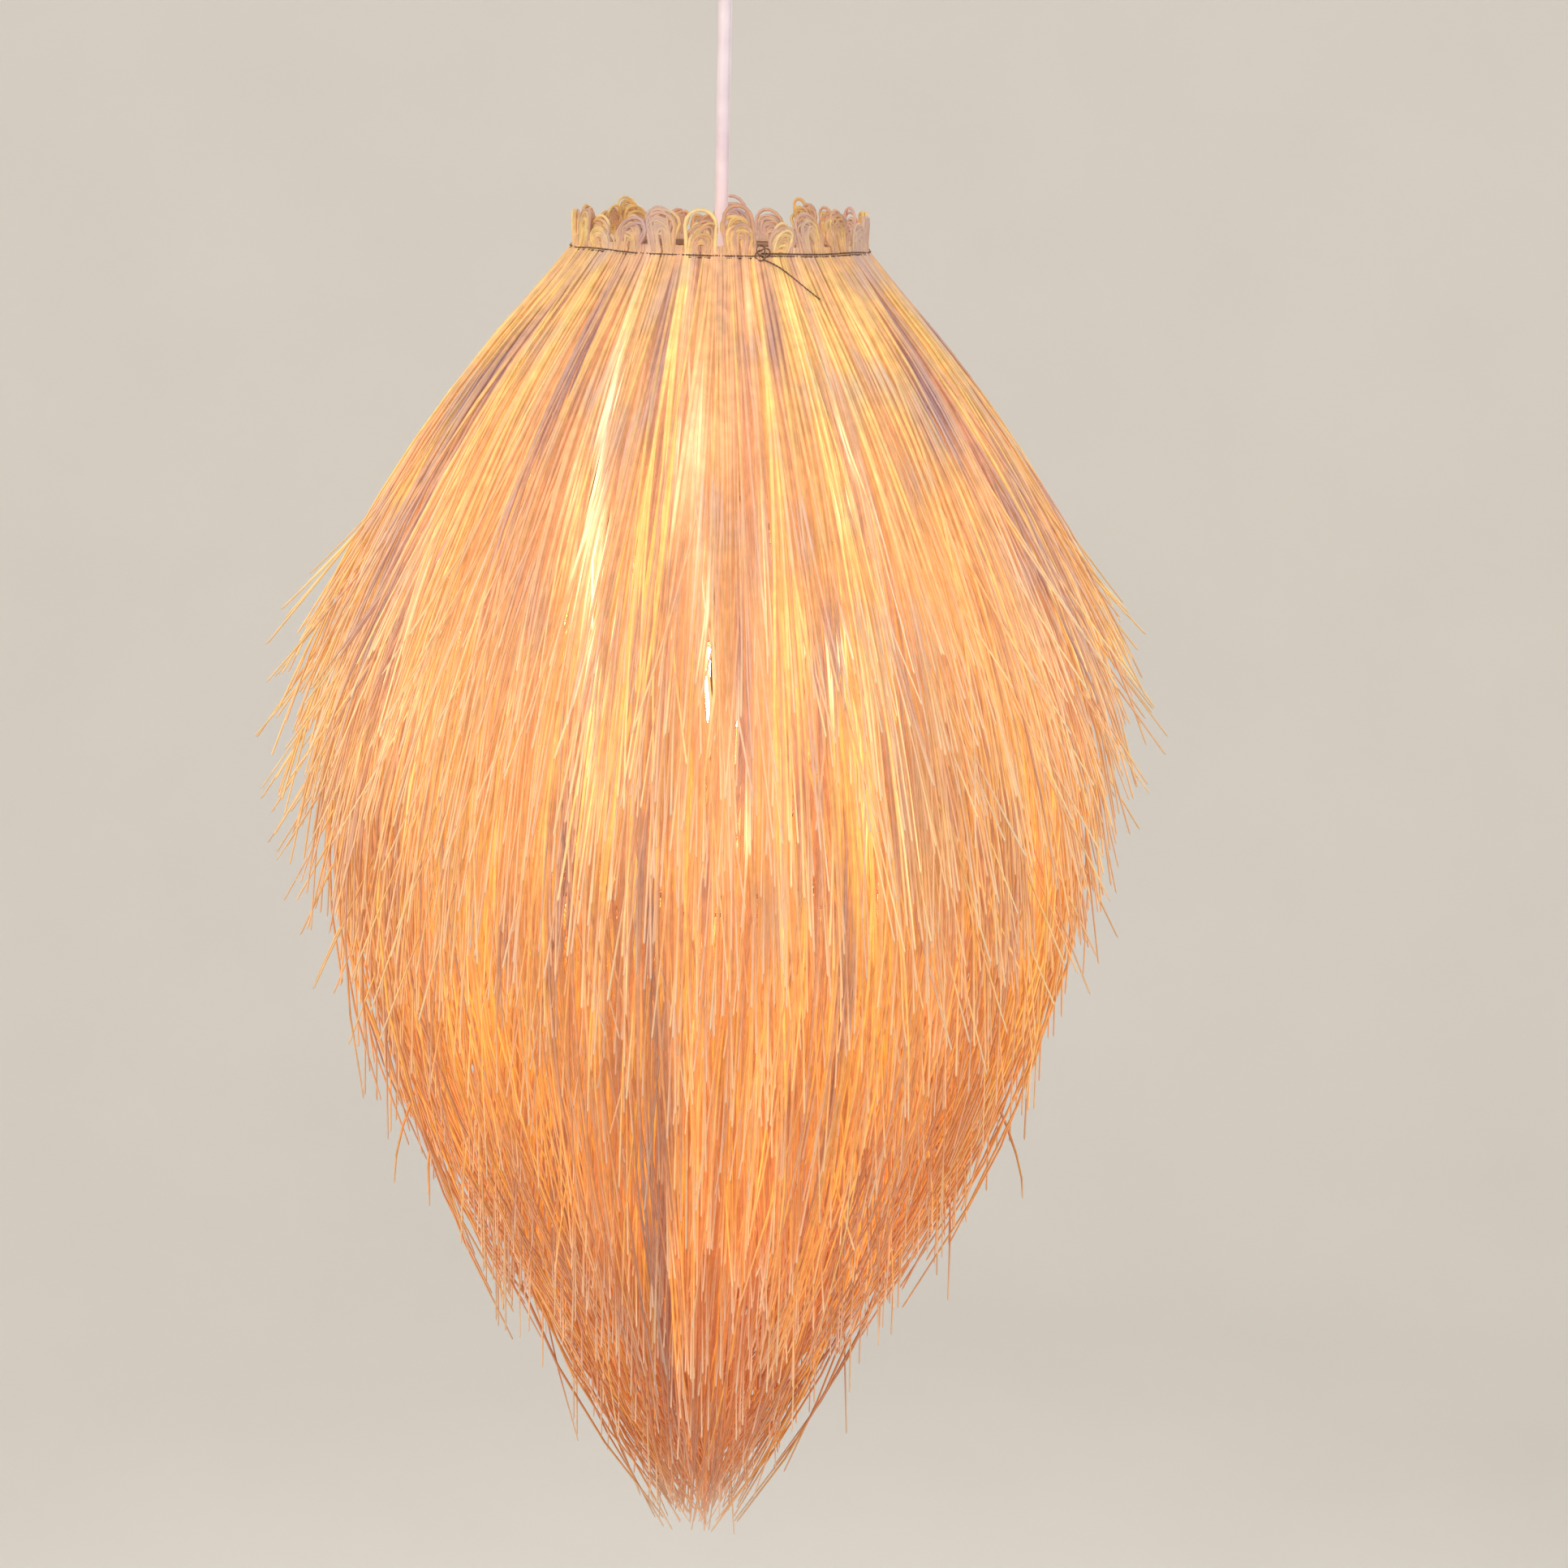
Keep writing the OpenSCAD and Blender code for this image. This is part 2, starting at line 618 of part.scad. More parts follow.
// Place of a strand within its tuft, from -1 to 1
function strand_place(k, count) = (2 * k + 1 - count) / count;
function fan_of(k, count, w, r, pitch) =
    strand_place(k, count) * [atan(w / 2 * 0.8 / r), pitch / 2];

module top_straw(group) color("#e2b47c") {
    root = [leg_r, neck_ring[1] - top_leg + root_in];
    radii = strand_r * [0.37, 0.75, 1, 0.8, 0.4];
    for (tuft = [(group - 1) * top_tufts : group * top_tufts - 1]) {
        middle = (tuft + 0.5) * top_pitch;
        union() {
            rotate([0, 0, middle])
                bent_tuft(top_z - bend_r - bend_lift * scatter(tuft, 0.2));
            for (leg = [0, 1], k = [0:top_strands - 1]) {
                i = (tuft * 2 + leg) * top_strands + k;
                strand(strand_line(i, root, top_tips, top_tips_in, top_leans, belly_pt[0]),
                    middle + (leg - 0.5) * top_pitch / 2,
                    fan_of(k, top_strands, top_leg_w, leg_r, top_pitch / 2), radii);
            }
        }
    }
}
// A group of an inner tier: tufts folded over the tier's ring, each with a fan of strands
module inner_straw(group, ring, strands, tips, tips_in, leans, tip_max_r) {
    pitch = 360 / inner_groups / inner_tufts;
    root = [ring[0] + (fold_in_r + fold_r) / 2, ring[1] - inner_leg + root_in];
    radii = strand_r * [0.7, 1, 0.9, 0.4];
    for (tuft = [(group - 1) * inner_tufts : group * inner_tufts - 1]) {
        middle = (tuft + 0.5) * pitch;
        union() {
            rotate([0, 0, middle])
                tuft_fold(ring);
            for (k = [0:strands - 1])
                strand(strand_line(tuft * strands + k, root, tips, tips_in, leans, tip_max_r), middle,
                    fan_of(k, strands, inner_tuft_w, root[0], pitch), radii);
        }
    }
}
module middle_straw(group) color("#d99f62")
    inner_straw(group, middle_ring, middle_strands, middle_tips, middle_tips_in, middle_leans,
        belly_pt[0] - tier_gap);
module lower_straw(group) color("#c98f58")
    inner_straw(group, lower_ring, lower_strands, lower_tips, lower_tips_in, lower_leans,
        lower_ring[0] + fold_r);

// Bindings: one unbroken twine round the outer legs of a tier
// The twine runs straight from step to step, so its corners stand out a little from the tufts
function binding_r(ring) = (ring[0] + fold_r + slip / 2 + twine_d / 2) / cos(180 / twine_steps);
function turns_path(r, z, from) = [for (i = [0:twine_turns * twine_steps])
    polar(from + i * 360 / twine_steps, r, z - i * twine_pitch / twine_steps)];
function tail_path(r, z, from) = [for (p = twine_tail)
    polar(from + p[0], r + p[1], z - twine_turns * twine_pitch - p[2])];
neck_twine_path = concat(
    turns_path(binding_r(neck_ring), neck_twine_z, knot_azimuth),
    tail_path(binding_r(neck_ring), neck_twine_z, knot_azimuth)
);
middle_twine_path = turns_path(binding_r(middle_ring), middle_ring[1] - inner_twine_drop, 0);
lower_twine_path = turns_path(binding_r(lower_ring), lower_ring[1] - inner_twine_drop, 0);
// Least gap of a twine to itself, on points at least half a turn apart
function least_gap(path) = min([for (i = [0:len(path) - 1], j = [i + twine_steps / 2:1:len(path) - 1])
    norm(path[i] - path[j])]) - twine_d;
echo(neck_binding_gap = least_gap(neck_twine_path));
echo(middle_binding_gap = least_gap(middle_twine_path));
echo(lower_binding_gap = least_gap(lower_twine_path));
module neck_binding() color("#5a4030") even_tube(neck_twine_path, twine_d, twine_sides, [0, 0, 1]);
module middle_binding() color("#5a4030") even_tube(middle_twine_path, twine_d, twine_sides, [0, 0, 1]);
module lower_binding() color("#5a4030") even_tube(lower_twine_path, twine_d, twine_sides, [0, 0, 1]);

// Bulb
module bulb_globe() color("#fff6e0")
    rotate_extrude() {
        half = asin(globe_neck_r / globe_r);
        in_half = asin((globe_neck_r - globe_wall) / (globe_r - globe_wall));
        polygon(concat(
            arc([0, globe_z], globe_r, 90 - half, -90, 20),
            arc([0, globe_z], globe_r - globe_wall, -90, 90 - in_half, 20),
            [[globe_neck_r - globe_wall, rim_z]]
        ));
    }
module bulb_housing() color("#f3f1ec")
    rotate_extrude() {
        spigot_r = screw_d / 2 - screw_wall - weld_gap;
        polygon([
            [0, screw_top_z - 1], [spigot_r, screw_top_z - 1], [spigot_r, housing_top_z],
            [screw_d / 2 + 1, housing_top_z], [screw_d / 2 + 2, housing_top_z - 4],
            [housing_d / 2 - 3, rim_z + 12], [housing_d / 2, rim_z + 3], [housing_d / 2, rim_z + weld_gap],
            [board_r - 1, rim_z + weld_gap], [board_r - 1 - housing_wall, rim_z + 10],
            [spigot_r - housing_wall, housing_top_z], [spigot_r - housing_wall, screw_top_z - 3],
            [0, screw_top_z - 3]
        ]);
    }
module led_board() color("#f6f6f2")
    translate([0, 0, rim_z - board_t])
        cylinder(h = board_t, r = board_r);
module bulb_screw_cap() color("#c4c6c8")
    translate([0, 0, housing_top_z + weld_gap])
        difference() {
            cylinder(h = screw_len - weld_gap, d = screw_d);
            translate([0, 0, -1])
                cylinder(h = screw_len + 2, d = screw_d - 2 * screw_wall);
        }
module bulb_insulator() color("#1d1c20")
    rotate_extrude()
        polygon([
            [0, screw_top_z], [screw_d / 2 - 0.4, screw_top_z], [screw_d / 2 - 1.6, screw_top_z + 1],
            [tip_r + 0.6, screw_top_z + insulator_t - slip], [0, screw_top_z + insulator_t - slip]
        ]);
module bulb_contact() color("#cfcfc8")
    rotate_extrude()
        polygon(concat(
            [[0, tip_top_z - tip_t], [tip_r, tip_top_z - tip_t]],
            [[tip_r, tip_top_z - tip_t / 2], [tip_r * 0.7, tip_top_z], [0, tip_top_z]]
        ));

ceiling_bracket();
ceiling_cup();
cup_screws();
cord_gland();
gland_nut();
terminal_block();
terminal_screws();
ceiling_cores();
cord_stub();
pendant_cord();
holder_cap();
cord_grip_screw();
holder_body();
socket_core();
socket_screws();
holder_cores();
socket_shell();
centre_contact();
shade_ring();
spider();
neck_ring_wire();
upper_ribs();
middle_ring_wire();
lower_ribs();
lower_ring_wire();
neck_binding();
middle_binding();
lower_binding();
bulb_globe();
bulb_housing();
led_board();
bulb_screw_cap();
bulb_insulator();
bulb_contact();
for (i = [1:top_groups])
    top_straw(i);
for (i = [1:inner_groups])
    middle_straw(i);
for (i = [1:inner_groups])
    lower_straw(i);
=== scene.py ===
import json
import math
import random

import bpy
import numpy as np
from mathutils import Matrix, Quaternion, Vector


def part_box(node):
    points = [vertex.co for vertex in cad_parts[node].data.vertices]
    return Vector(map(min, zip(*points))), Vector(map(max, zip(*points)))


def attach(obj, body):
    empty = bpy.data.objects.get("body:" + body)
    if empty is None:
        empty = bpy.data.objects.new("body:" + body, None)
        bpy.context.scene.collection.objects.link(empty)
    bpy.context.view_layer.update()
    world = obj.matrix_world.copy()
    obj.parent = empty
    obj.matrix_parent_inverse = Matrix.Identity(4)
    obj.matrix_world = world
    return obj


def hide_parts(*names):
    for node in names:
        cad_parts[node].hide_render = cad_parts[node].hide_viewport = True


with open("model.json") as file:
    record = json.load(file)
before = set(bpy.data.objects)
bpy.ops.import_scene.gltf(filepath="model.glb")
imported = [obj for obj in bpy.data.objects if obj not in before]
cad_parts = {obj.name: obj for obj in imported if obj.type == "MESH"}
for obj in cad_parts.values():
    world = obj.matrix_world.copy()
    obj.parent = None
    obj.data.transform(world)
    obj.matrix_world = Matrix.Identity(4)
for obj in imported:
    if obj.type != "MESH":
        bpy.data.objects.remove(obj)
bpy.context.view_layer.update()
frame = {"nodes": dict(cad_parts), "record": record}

NODES = frame["nodes"]
MM = 0.001
UP = Vector((0, 0, 1))


def ring_of(node):
    """Radius and height of a wire ring of the frame, at the middle of its wire."""
    low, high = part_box(node)
    wire = high.z - low.z
    return (high.x - low.x - wire) / 2, (high.z + low.z) / 2


# Driving sizes of the straw shade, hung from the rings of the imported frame
NECK_R, NECK_Z = ring_of("neck_ring_wire")
MIDDLE_R, MIDDLE_Z = ring_of("middle_ring_wire")
LOWER_R, LOWER_Z = ring_of("lower_ring_wire")
TOP_Z = NECK_Z + 21 * MM
BELLY_R = 200 * MM
BELLY_Z = TOP_Z - 235 * MM
TAIL_R = 8 * MM
TAIL_Z = TOP_Z - 660 * MM
SHOULDER_LEAN = math.radians(42)
TAIL_SLOPE = 0.74
LEG_IN_R = NECK_R + 1.8 * MM
LEG_R = NECK_R + 5.4 * MM
LEG_LOW_Z = NECK_Z - 4 * MM
TIE_Z = NECK_Z + 1.2 * MM

# Camera of the photograph: a square picture, seen from a little above the loops of straw
IMAGE_PX = 1932
LENS_PX = 3150
SENSOR_MM = 36
CAMERA_AWAY = 1.175
CAMERA_ABOVE = 32.7 * MM
PITCH = math.radians(14.4)
YAW = math.radians(1.69)
ROLL = math.radians(1.46)

camera_data = bpy.data.cameras.new("photo_camera")
camera_data.sensor_width = SENSOR_MM
camera_data.lens = SENSOR_MM * LENS_PX / IMAGE_PX
camera = bpy.data.objects.new("photo_camera", camera_data)
bpy.context.scene.collection.objects.link(camera)
aim = Vector((math.sin(YAW) * math.cos(PITCH), math.cos(YAW) * math.cos(PITCH), -math.sin(PITCH)))
camera.location = (0, -CAMERA_AWAY, TOP_Z + CAMERA_ABOVE)
camera.rotation_mode = "QUATERNION"
camera.rotation_quaternion = aim.to_track_quat("-Z", "Y") @ Quaternion((0, 0, 1), ROLL)
bpy.context.scene.camera = camera

# Cord: straight down from the gland's waist into the holder cap
CORD_D = 6 * MM
CORD_STEPS = 15
CORD_ROUNDNESS = 5
CORD_TOP_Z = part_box("pendant_cord")[1].z
CORD_END_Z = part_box("pendant_cord")[0].z


def line_curve(name, paths, thickness, resolution=0):
    """A curve object of one open line for each path, whose points are (place, share of the thickness)."""
    data = bpy.data.curves.new(name, "CURVE")
    data.dimensions = "3D"
    data.bevel_depth = thickness / 2
    data.bevel_resolution = resolution
    for path in paths:
        spline = data.splines.new("POLY")
        spline.points.add(len(path) - 1)
        spline.points.foreach_set("co", [c for place, _ in path for c in (*place, 1.0)])
        spline.points.foreach_set("radius", [share for _, share in path])
    obj = bpy.data.objects.new(name, data)
    bpy.context.scene.collection.objects.link(obj)
    return obj


def choose(obj):
    """Selects one object alone and makes it the active one."""
    bpy.ops.object.select_all(action="DESELECT")
    obj.select_set(True)
    bpy.context.view_layer.objects.active = obj


def to_mesh(obj):
    """Turns a curve object into a mesh."""
    choose(obj)
    bpy.ops.object.convert(target="MESH")


def cord_tube(name, route, body, node):
    """A length of the cord, closed at its ends."""
    obj = line_curve(name, [route], CORD_D, CORD_ROUNDNESS)
    obj.data.use_fill_caps = True
    to_mesh(obj)
    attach(obj, body)
    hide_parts(node)
    return obj


def cord_route(top, bottom):
    """Points of a straight length of cord between two heights."""
    return [(Vector((0, 0, top + (bottom - top) * i / CORD_STEPS)), 1.0) for i in range(CORD_STEPS + 1)]


CORD_ROUTE = cord_route(CORD_TOP_Z, CORD_END_Z)
cord = cord_tube("cord", CORD_ROUTE, "lamp", "pendant_cord")
stub_low, stub_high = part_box("cord_stub")
cord_start = cord_tube("cord_start", cord_route(stub_high.z, stub_low.z), "cord_end", "cord_stub")


# Outline of the straw
def curve_point(p, t):
    """A point of a three-point curve of (radius, height)."""
    a, b, c = (1 - t) ** 2, 2 * t * (1 - t), t * t
    return a * p[0][0] + b * p[1][0] + c * p[2][0], a * p[0][1] + b * p[1][1] + c * p[2][1]


def curve_radius(p, z):
    """Radius of a falling three-point curve at a height."""
    a = p[0][1] - 2 * p[1][1] + p[2][1]
    b = 2 * (p[1][1] - p[0][1])
    c = p[0][1] - z
    return curve_point(p, 2 * c / (-b + math.sqrt(max(b * b - 4 * a * c, 0))))[0]


SHOULDER_Z = LEG_LOW_Z - (BELLY_R - LEG_R) / math.tan(SHOULDER_LEAN)
UNDER_Z = TAIL_Z + (BELLY_R - TAIL_R) / TAIL_SLOPE
UPPER_LINE = [(LEG_R, LEG_LOW_Z), (BELLY_R, SHOULDER_Z), (BELLY_R, BELLY_Z)]
UNDER_LINE = [(BELLY_R, BELLY_Z), (BELLY_R, UNDER_Z), (TAIL_R, TAIL_Z)]


def shade_radius(z):
    """Radius of the shade's outline at a height."""
    if z > LEG_LOW_Z:
        return LEG_R
    return curve_radius(UPPER_LINE, z) if z > BELLY_Z else curve_radius(UNDER_LINE, max(z, TAIL_Z))


def polar(azimuth, r, z):
    """A place at an azimuth, a radius and a height."""
    return Vector((r * math.cos(azimuth), r * math.sin(azimuth), z))


def smooth_step(low, high, x):
    """A smooth rise from 0 at the low end to 1 at the high end."""
    t = np.clip((x - low) / (high - low), 0.0, 1.0)
    return t * t * (3 - 2 * t)


# Light that comes through the straw, by the drop below the heads in millimetres
LIT_DROPS = (8, 14, 30, 60, 150, 235, 330, 430, 560, 650)
LIT_SHARES = (0.17, 0.25, 0.6, 0.68, 0.66, 0.54, 0.59, 0.61, 0.44, 0.3)
# Depths inside the outline in millimetres: stems beyond it glow least, those deep inside most
EDGE_LIGHT = 0.16
EDGE_DEPTHS = (-12, 2)
DEEP_LIGHT = 0.45
DEEP_DEPTHS = (4, 36)
# Stems beyond the outline are pale
PALE_TONE = 0.65
PALE_DEPTHS = (-10, 0)
# Near the neck the stems lie close and glow alike
NECK_CALM = 0.4
CALM_DROPS = (30, 130)
# In the heads each stem has a tone of its own
HEAD_TONE = 0.3
HEAD_DROPS = (15, 21)
OUTLINE_STEPS = 400
OUTLINE_Z = np.linspace(TAIL_Z, TOP_Z, OUTLINE_STEPS)
OUTLINE_R = np.array([shade_radius(z) for z in OUTLINE_Z])

# Marks that run down the straw: azimuth and drop of both ends, half width and strength
# Azimuths and half widths are in degrees, drops in millimetres
# The glints are streaks of painted light: they brighten the glow and turn it towards white
GLINT_LIGHT = 1.1
GLINT_CHANCE = 0.5
GLINTS = [
    (-116, 45, -107, 184, 1.2, 1.9), (-101, 20, -98.5, 56, 1.8, 0.5), (-97.5, 92, -96.8, 116, 0.9, 1.4),
    (-95, 66, -93.5, 118, 2.6, 0.5), (-93.5, 118, -91.5, 154, 2.2, 0.5), (-91.2, 154, -90.3, 194, 0.9, 2.0),
    (-82, 22, -82, 52, 1.8, 0.5), (-62.5, 22, -63.5, 90, 2.0, 0.6), (-64.8, 88, -67, 122, 1.1, 1.7),
    (-61.5, 95, -66, 220, 2.0, 0.7), (-35, 124, -39.5, 182, 2.0, 0.5), (-131, 80, -123.5, 182, 1.2, 0.4),
    (-117, 92, -113, 150, 1.3, 0.5), (-71, 166, -71.8, 184, 0.8, 1.6), (-75.5, 172, -75.5, 222, 0.8, 1.5),
    (-86.5, 200, -85.2, 250, 0.8, 1.7), (-82, 110, -82.5, 166, 1.0, 0.4), (-107.5, 184, -104, 258, 1.9, 0.6),
    (-101, 254, -100.5, 286, 1.5, 0.5), (-79.5, 236, -79, 318, 1.1, 0.6), (-66, 232, -65.5, 260, 1.3, 0.6),
    (-106, 306, -106, 330, 1.7, 0.5), (-92, 332, -89.5, 440, 2.4, 0.6), (-82, 348, -77.5, 440, 2.6, 0.6),
    (-94, 455, -99, 640, 4.5, 0.45), (-83, 455, -70, 630, 6.0, 0.4), (-113, 370, -116, 470, 4.0, 0.3),
    (-32, 150, -36, 260, 2.4, 0.5), (-146, 110, -140, 250, 2.4, 0.5), (-52, 330, -48, 470, 3.5, 0.35),
]
# The shades are streaks of painted shade: they dull the straw's tone and cool its glow
SHADE_LIGHT = -0.04
SHADE_TONE = 0.38
SHADES = [
    (-127, 38, -126, 92, 3.0, 1.0), (-125.5, 92, -127.5, 170, 2.4, 0.5), (-106, 36, -103, 80, 2.4, 0.8),
    (-74, 26, -76, 66, 2.6, 0.9), (-28, 38, -40, 96, 4.5, 1.0), (-72.5, 156, -73.5, 192, 1.6, 0.9),
    (-85.8, 158, -85.6, 232, 1.5, 0.7), (-110.5, 232, -112.5, 318, 1.8, 0.8), (-99, 258, -97, 362, 1.7, 1.0),
    (-97, 362, -105, 590, 3.6, 1.3), (-71, 282, -67.5, 348, 2.6, 1.0), (-70.5, 356, -68, 424, 2.2, 0.7),
    (-120, 286, -122.5, 338, 2.0, 0.8), (-104.5, 332, -104, 368, 1.3, 0.6),
    (-90.5, 256, -90.5, 290, 1.1, 0.6), (-89.5, 20, -89.5, 60, 2.0, 0.5), (-152, 110, -146, 220, 3.6, 0.8),
    (-58, 400, -50, 520, 5.0, 0.7), (-128, 390, -132, 500, 5.0, 0.7), (-77, 205, -77, 250, 1.4, 0.6),
]
# The marks come back at these turns round the shade, and fade towards their ends and edges
MARK_TURNS = (0, 126, 243)
MARK_FADE = 0.3
MARK_CORE = 0.4


def mark(marks, azimuth, drop):
    """How deep places lie in the marks: a mark's strength in its middle, 0 outside."""
    deepest = np.zeros(len(drop))
    for az_top, top, az_end, end, half, strength in marks:
        middle = az_top + (az_end - az_top) * (drop - top) / (end - top)
        fade = MARK_FADE * (end - top)
        ends = smooth_step(top - fade, top + fade, drop) * (1 - smooth_step(end - fade, end + fade, drop))
        for turn in MARK_TURNS:
            off = np.abs((azimuth - middle - turn + 180) % 360 - 180)
            deepest = np.maximum(deepest, strength * ends * (1 - smooth_step(MARK_CORE, 1.0, off / half)))
    return deepest


# Stems: thickness, length of the points at both ends, taper towards the tip, corners of the section
STEM_D = 1.7 * MM
ROOT_LEN = 0.3 * MM
TIP_LEN = 1.5 * MM
TAPER = 0.45
TAPER_START = 0.45
SIDES = 4
STEM_VALUES = ("tone", "run", "glow", "gleam", "shade")


class Straws:
    """Stems gathered for one piece of a tier, each with its tone and its share of the bulb's light."""

    def __init__(self):
        self.paths = []
        self.tones = []
        self.lights = []
        self.chances = []
        self.runs = []

    def stem(self, places, thick, tone, light, chance):
        """A stem through the places, tapered to its tip."""
        last = len(places) - 1
        path = [(places[0] + (places[0] - places[1]).normalized() * ROOT_LEN, 0.0)]
        for i, place in enumerate(places):
            path.append((place, thick * (1.0 - TAPER * smooth_step(TAPER_START, 1.0, i / last))))
        path.append((places[-1] + (places[-1] - places[-2]).normalized() * TIP_LEN, 0.0))
        self.paths.append(path)
        self.tones.append(tone)
        self.lights.append(light)
        self.chances.append(chance)
        self.runs.append([0.0] + [i / last for i in range(len(places))] + [1.0])

    def values(self):
        """The stems' values at each of their points, in the order of STEM_VALUES."""
        counts = [len(path) for path in self.paths]
        places = np.array([place for path in self.paths for place, _ in path])
        azimuth = np.degrees(np.arctan2(places[:, 1], places[:, 0]))
        drop = (TOP_Z - places[:, 2]) / MM
        outline = np.interp(places[:, 2], OUTLINE_Z, OUTLINE_R)
        inside = (outline - np.hypot(places[:, 0], places[:, 1])) / MM
        chance = np.repeat(self.chances, counts)
        gleam = mark(GLINTS, azimuth, drop) * (1 + GLINT_CHANCE * chance)
        shade = mark(SHADES, azimuth, drop)
        tone = np.repeat(self.tones, counts) - SHADE_TONE * shade
        tone += PALE_TONE * (1 - smooth_step(*PALE_DEPTHS, inside))
        tone += HEAD_TONE * chance * (1 - smooth_step(*HEAD_DROPS, drop))
        depth = EDGE_LIGHT + (1 - EDGE_LIGHT) * smooth_step(*EDGE_DEPTHS, inside)
        depth += DEEP_LIGHT * smooth_step(*DEEP_DEPTHS, inside)
        calm = NECK_CALM + (1 - NECK_CALM) * smooth_step(*CALM_DROPS, drop)
        own_light = 1 + (np.repeat(self.lights, counts) - 1) * calm
        glow = own_light * np.interp(drop, LIT_DROPS, LIT_SHARES) * depth
        glow *= (1 + GLINT_LIGHT * gleam) * (1 + SHADE_LIGHT * shade)
        return tone, np.concatenate(self.runs), glow, gleam, shade

    def piece(self, name, node, material):
        """Makes the mesh piece that stands for a straw node."""
        obj = line_curve(name, self.paths, STEM_D)
        to_mesh(obj)
        mesh = obj.data
        for label, values in zip(STEM_VALUES, self.values()):
            spread = np.repeat(values.astype(np.float32), SIDES)
            mesh.attributes.new(label, "FLOAT", "POINT").data.foreach_set("value", spread)
        merge_poles(obj)
        mesh.materials.clear()
        mesh.materials.append(material)
        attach(obj, "lamp")
        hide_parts(node)


def merge_poles(obj):
    """Closes the stems' ends, where the sides meet in one point."""
    choose(obj)
    bpy.ops.object.mode_set(mode="EDIT")
    bpy.ops.mesh.select_all(action="SELECT")
    bpy.ops.mesh.remove_doubles(threshold=0.01 * MM)
    bpy.ops.mesh.normals_make_consistent(inside=False)
    bpy.ops.object.mode_set(mode="OBJECT")


# Partings that show the bulb and the lit inside: azimuth and half width in degrees, drops of both ends
PARTINGS = [
    (-108.5, 0.9, 90, 220), (-90.6, 0.8, 150, 224), (-86, 0.8, 175, 285), (-75.5, 0.7, 140, 255),
    (-65, 0.7, 80, 130), (-33, 0.7, 170, 300), (8, 0.8, 140, 260), (41, 0.6, 170, 300), (77, 0.8, 150, 250),
    (104, 0.6, 170, 300), (136, 0.8, 140, 230), (171, 0.7, 170, 300), (-147, 0.8, 170, 280),
]
PARTING_END = 30


def parted(azimuth, z):
    """The azimuth of a place, pushed aside where it falls into a parting."""
    drop = (TOP_Z - z) / MM
    for middle, half, top, end in PARTINGS:
        off = (azimuth - math.radians(middle) + math.pi) % (2 * math.pi) - math.pi
        if abs(off) < 2 * math.radians(half) and top < drop < end:
            width = math.radians(half) * min(1.0, (drop - top) / PARTING_END, (end - drop) / PARTING_END)
            if abs(off) < 2 * width:
                return math.radians(middle) + math.copysign(width + abs(off) / 2, off)
    return azimuth


KNEE_SHARE = 0.5


def bowed(root, lean, tip, steps):
    """(radius, height) points of a stem that leaves its root at a lean and bows to its tip."""
    reach = KNEE_SHARE * math.hypot(tip[0] - root[0], tip[1] - root[1])
    knee = (root[0] + reach * math.sin(lean), root[1] - reach * math.cos(lean))
    return [curve_point([root, knee, tip], (i + 1) / steps) for i in range(steps)]


def hanging(root, lean, tip, steps):
    """(radius, height) points of a stem that leaves its root at a lean and hangs straight down to its tip."""
    knee = (tip[0], root[1] - abs(tip[0] - root[0]) / math.tan(lean))
    return [curve_point([root, knee, tip], (i + 1) / steps) for i in range(steps)]


def chord_lean(root, tip):
    """Lean from the vertical of the straight line between a stem's ends."""
    return math.atan2(tip[0] - root[0], root[1] - tip[1])


# Looks of a lock of stems: mean and spread of its tone, and its light as a range or as mean and spread
BRIGHT_TONE = (0.74, 0.05)
BRIGHT_LIGHTS = (1.1, 1.32)
SHADED_TONE = (0.32, 0.06)
SHADED_LIGHTS = (0.72, 0.9)
PLAIN_TONE = (0.54, 0.07)
PLAIN_LIGHT = (1.0, 0.06)


def lock_look(rng, bright, shaded):
    """Tone and light of a lock: most glow evenly, some let the light through, some hang in shadow."""
    kind = rng.random()
    if kind < bright:
        return rng.gauss(*BRIGHT_TONE), rng.uniform(*BRIGHT_LIGHTS)
    if kind < bright + shaded:
        return rng.gauss(*SHADED_TONE), rng.uniform(*SHADED_LIGHTS)
    return rng.gauss(*PLAIN_TONE), rng.gauss(*PLAIN_LIGHT)


# Tips' way past the outline in millimetres: the mean of most and its ends, and the range of the strays
TIP_OUT = -13
TIP_ENDS = (-34, 4)
STRAY_OUT = (3, 15)
STRAY_R = 216 * MM
LEAST_TIP_R = 2 * MM
# Spread of the locks' own way past the outline
LOCK_OUT = 5


def clamp(x, ends):
    """A number held between two ends."""
    return min(max(x, ends[0]), ends[1])


def tip_radius(rng, z, lock_out, spread, stray):
    """Radius of a stem's tip: mostly just inside the shade's outline, or beyond it for a stray."""
    beyond = rng.uniform(*STRAY_OUT) if stray else clamp(rng.gauss(TIP_OUT, spread) + lock_out, TIP_ENDS)
    return clamp(shade_radius(z) + beyond * MM, (LEAST_TIP_R, STRAY_R))


# A flick grows towards the tip
FLICK_POWER = 3


def stem_places(middle, root_az, tip_az, sway, line, flick=Vector((0, 0, 0))):
    """Places along a line of (radius, height) points, from one azimuth to another with a sway and a flick."""
    places = []
    for i, (r, z) in enumerate(line):
        s = (i + 1) / len(line)
        az = parted(middle + root_az * (1 - s) + tip_az * s + sway * math.sin(math.pi * s), z)
        places.append(polar(az, r, z) + flick * s ** FLICK_POWER)
    return places


# Top tier: tufts bent double sideways and tied to the neck ring by both legs, in the groups of the frame
TOP_GROUPS = 12
TUFTS_A_GROUP = 2
TOP_PITCH = 2 * math.pi / (TOP_GROUPS * TUFTS_A_GROUP)
LEG_LOCKS = 3
LOCK_STEMS = 19
TOP_BRIGHT = 0.1
TOP_SHADED = 0.2
# Section of a leg: how far the outermost stems lie inside it, and how much of its depth stays free
LEG_SKIN = 0.5 * MM
LEG_SPARE = 1.2 * MM
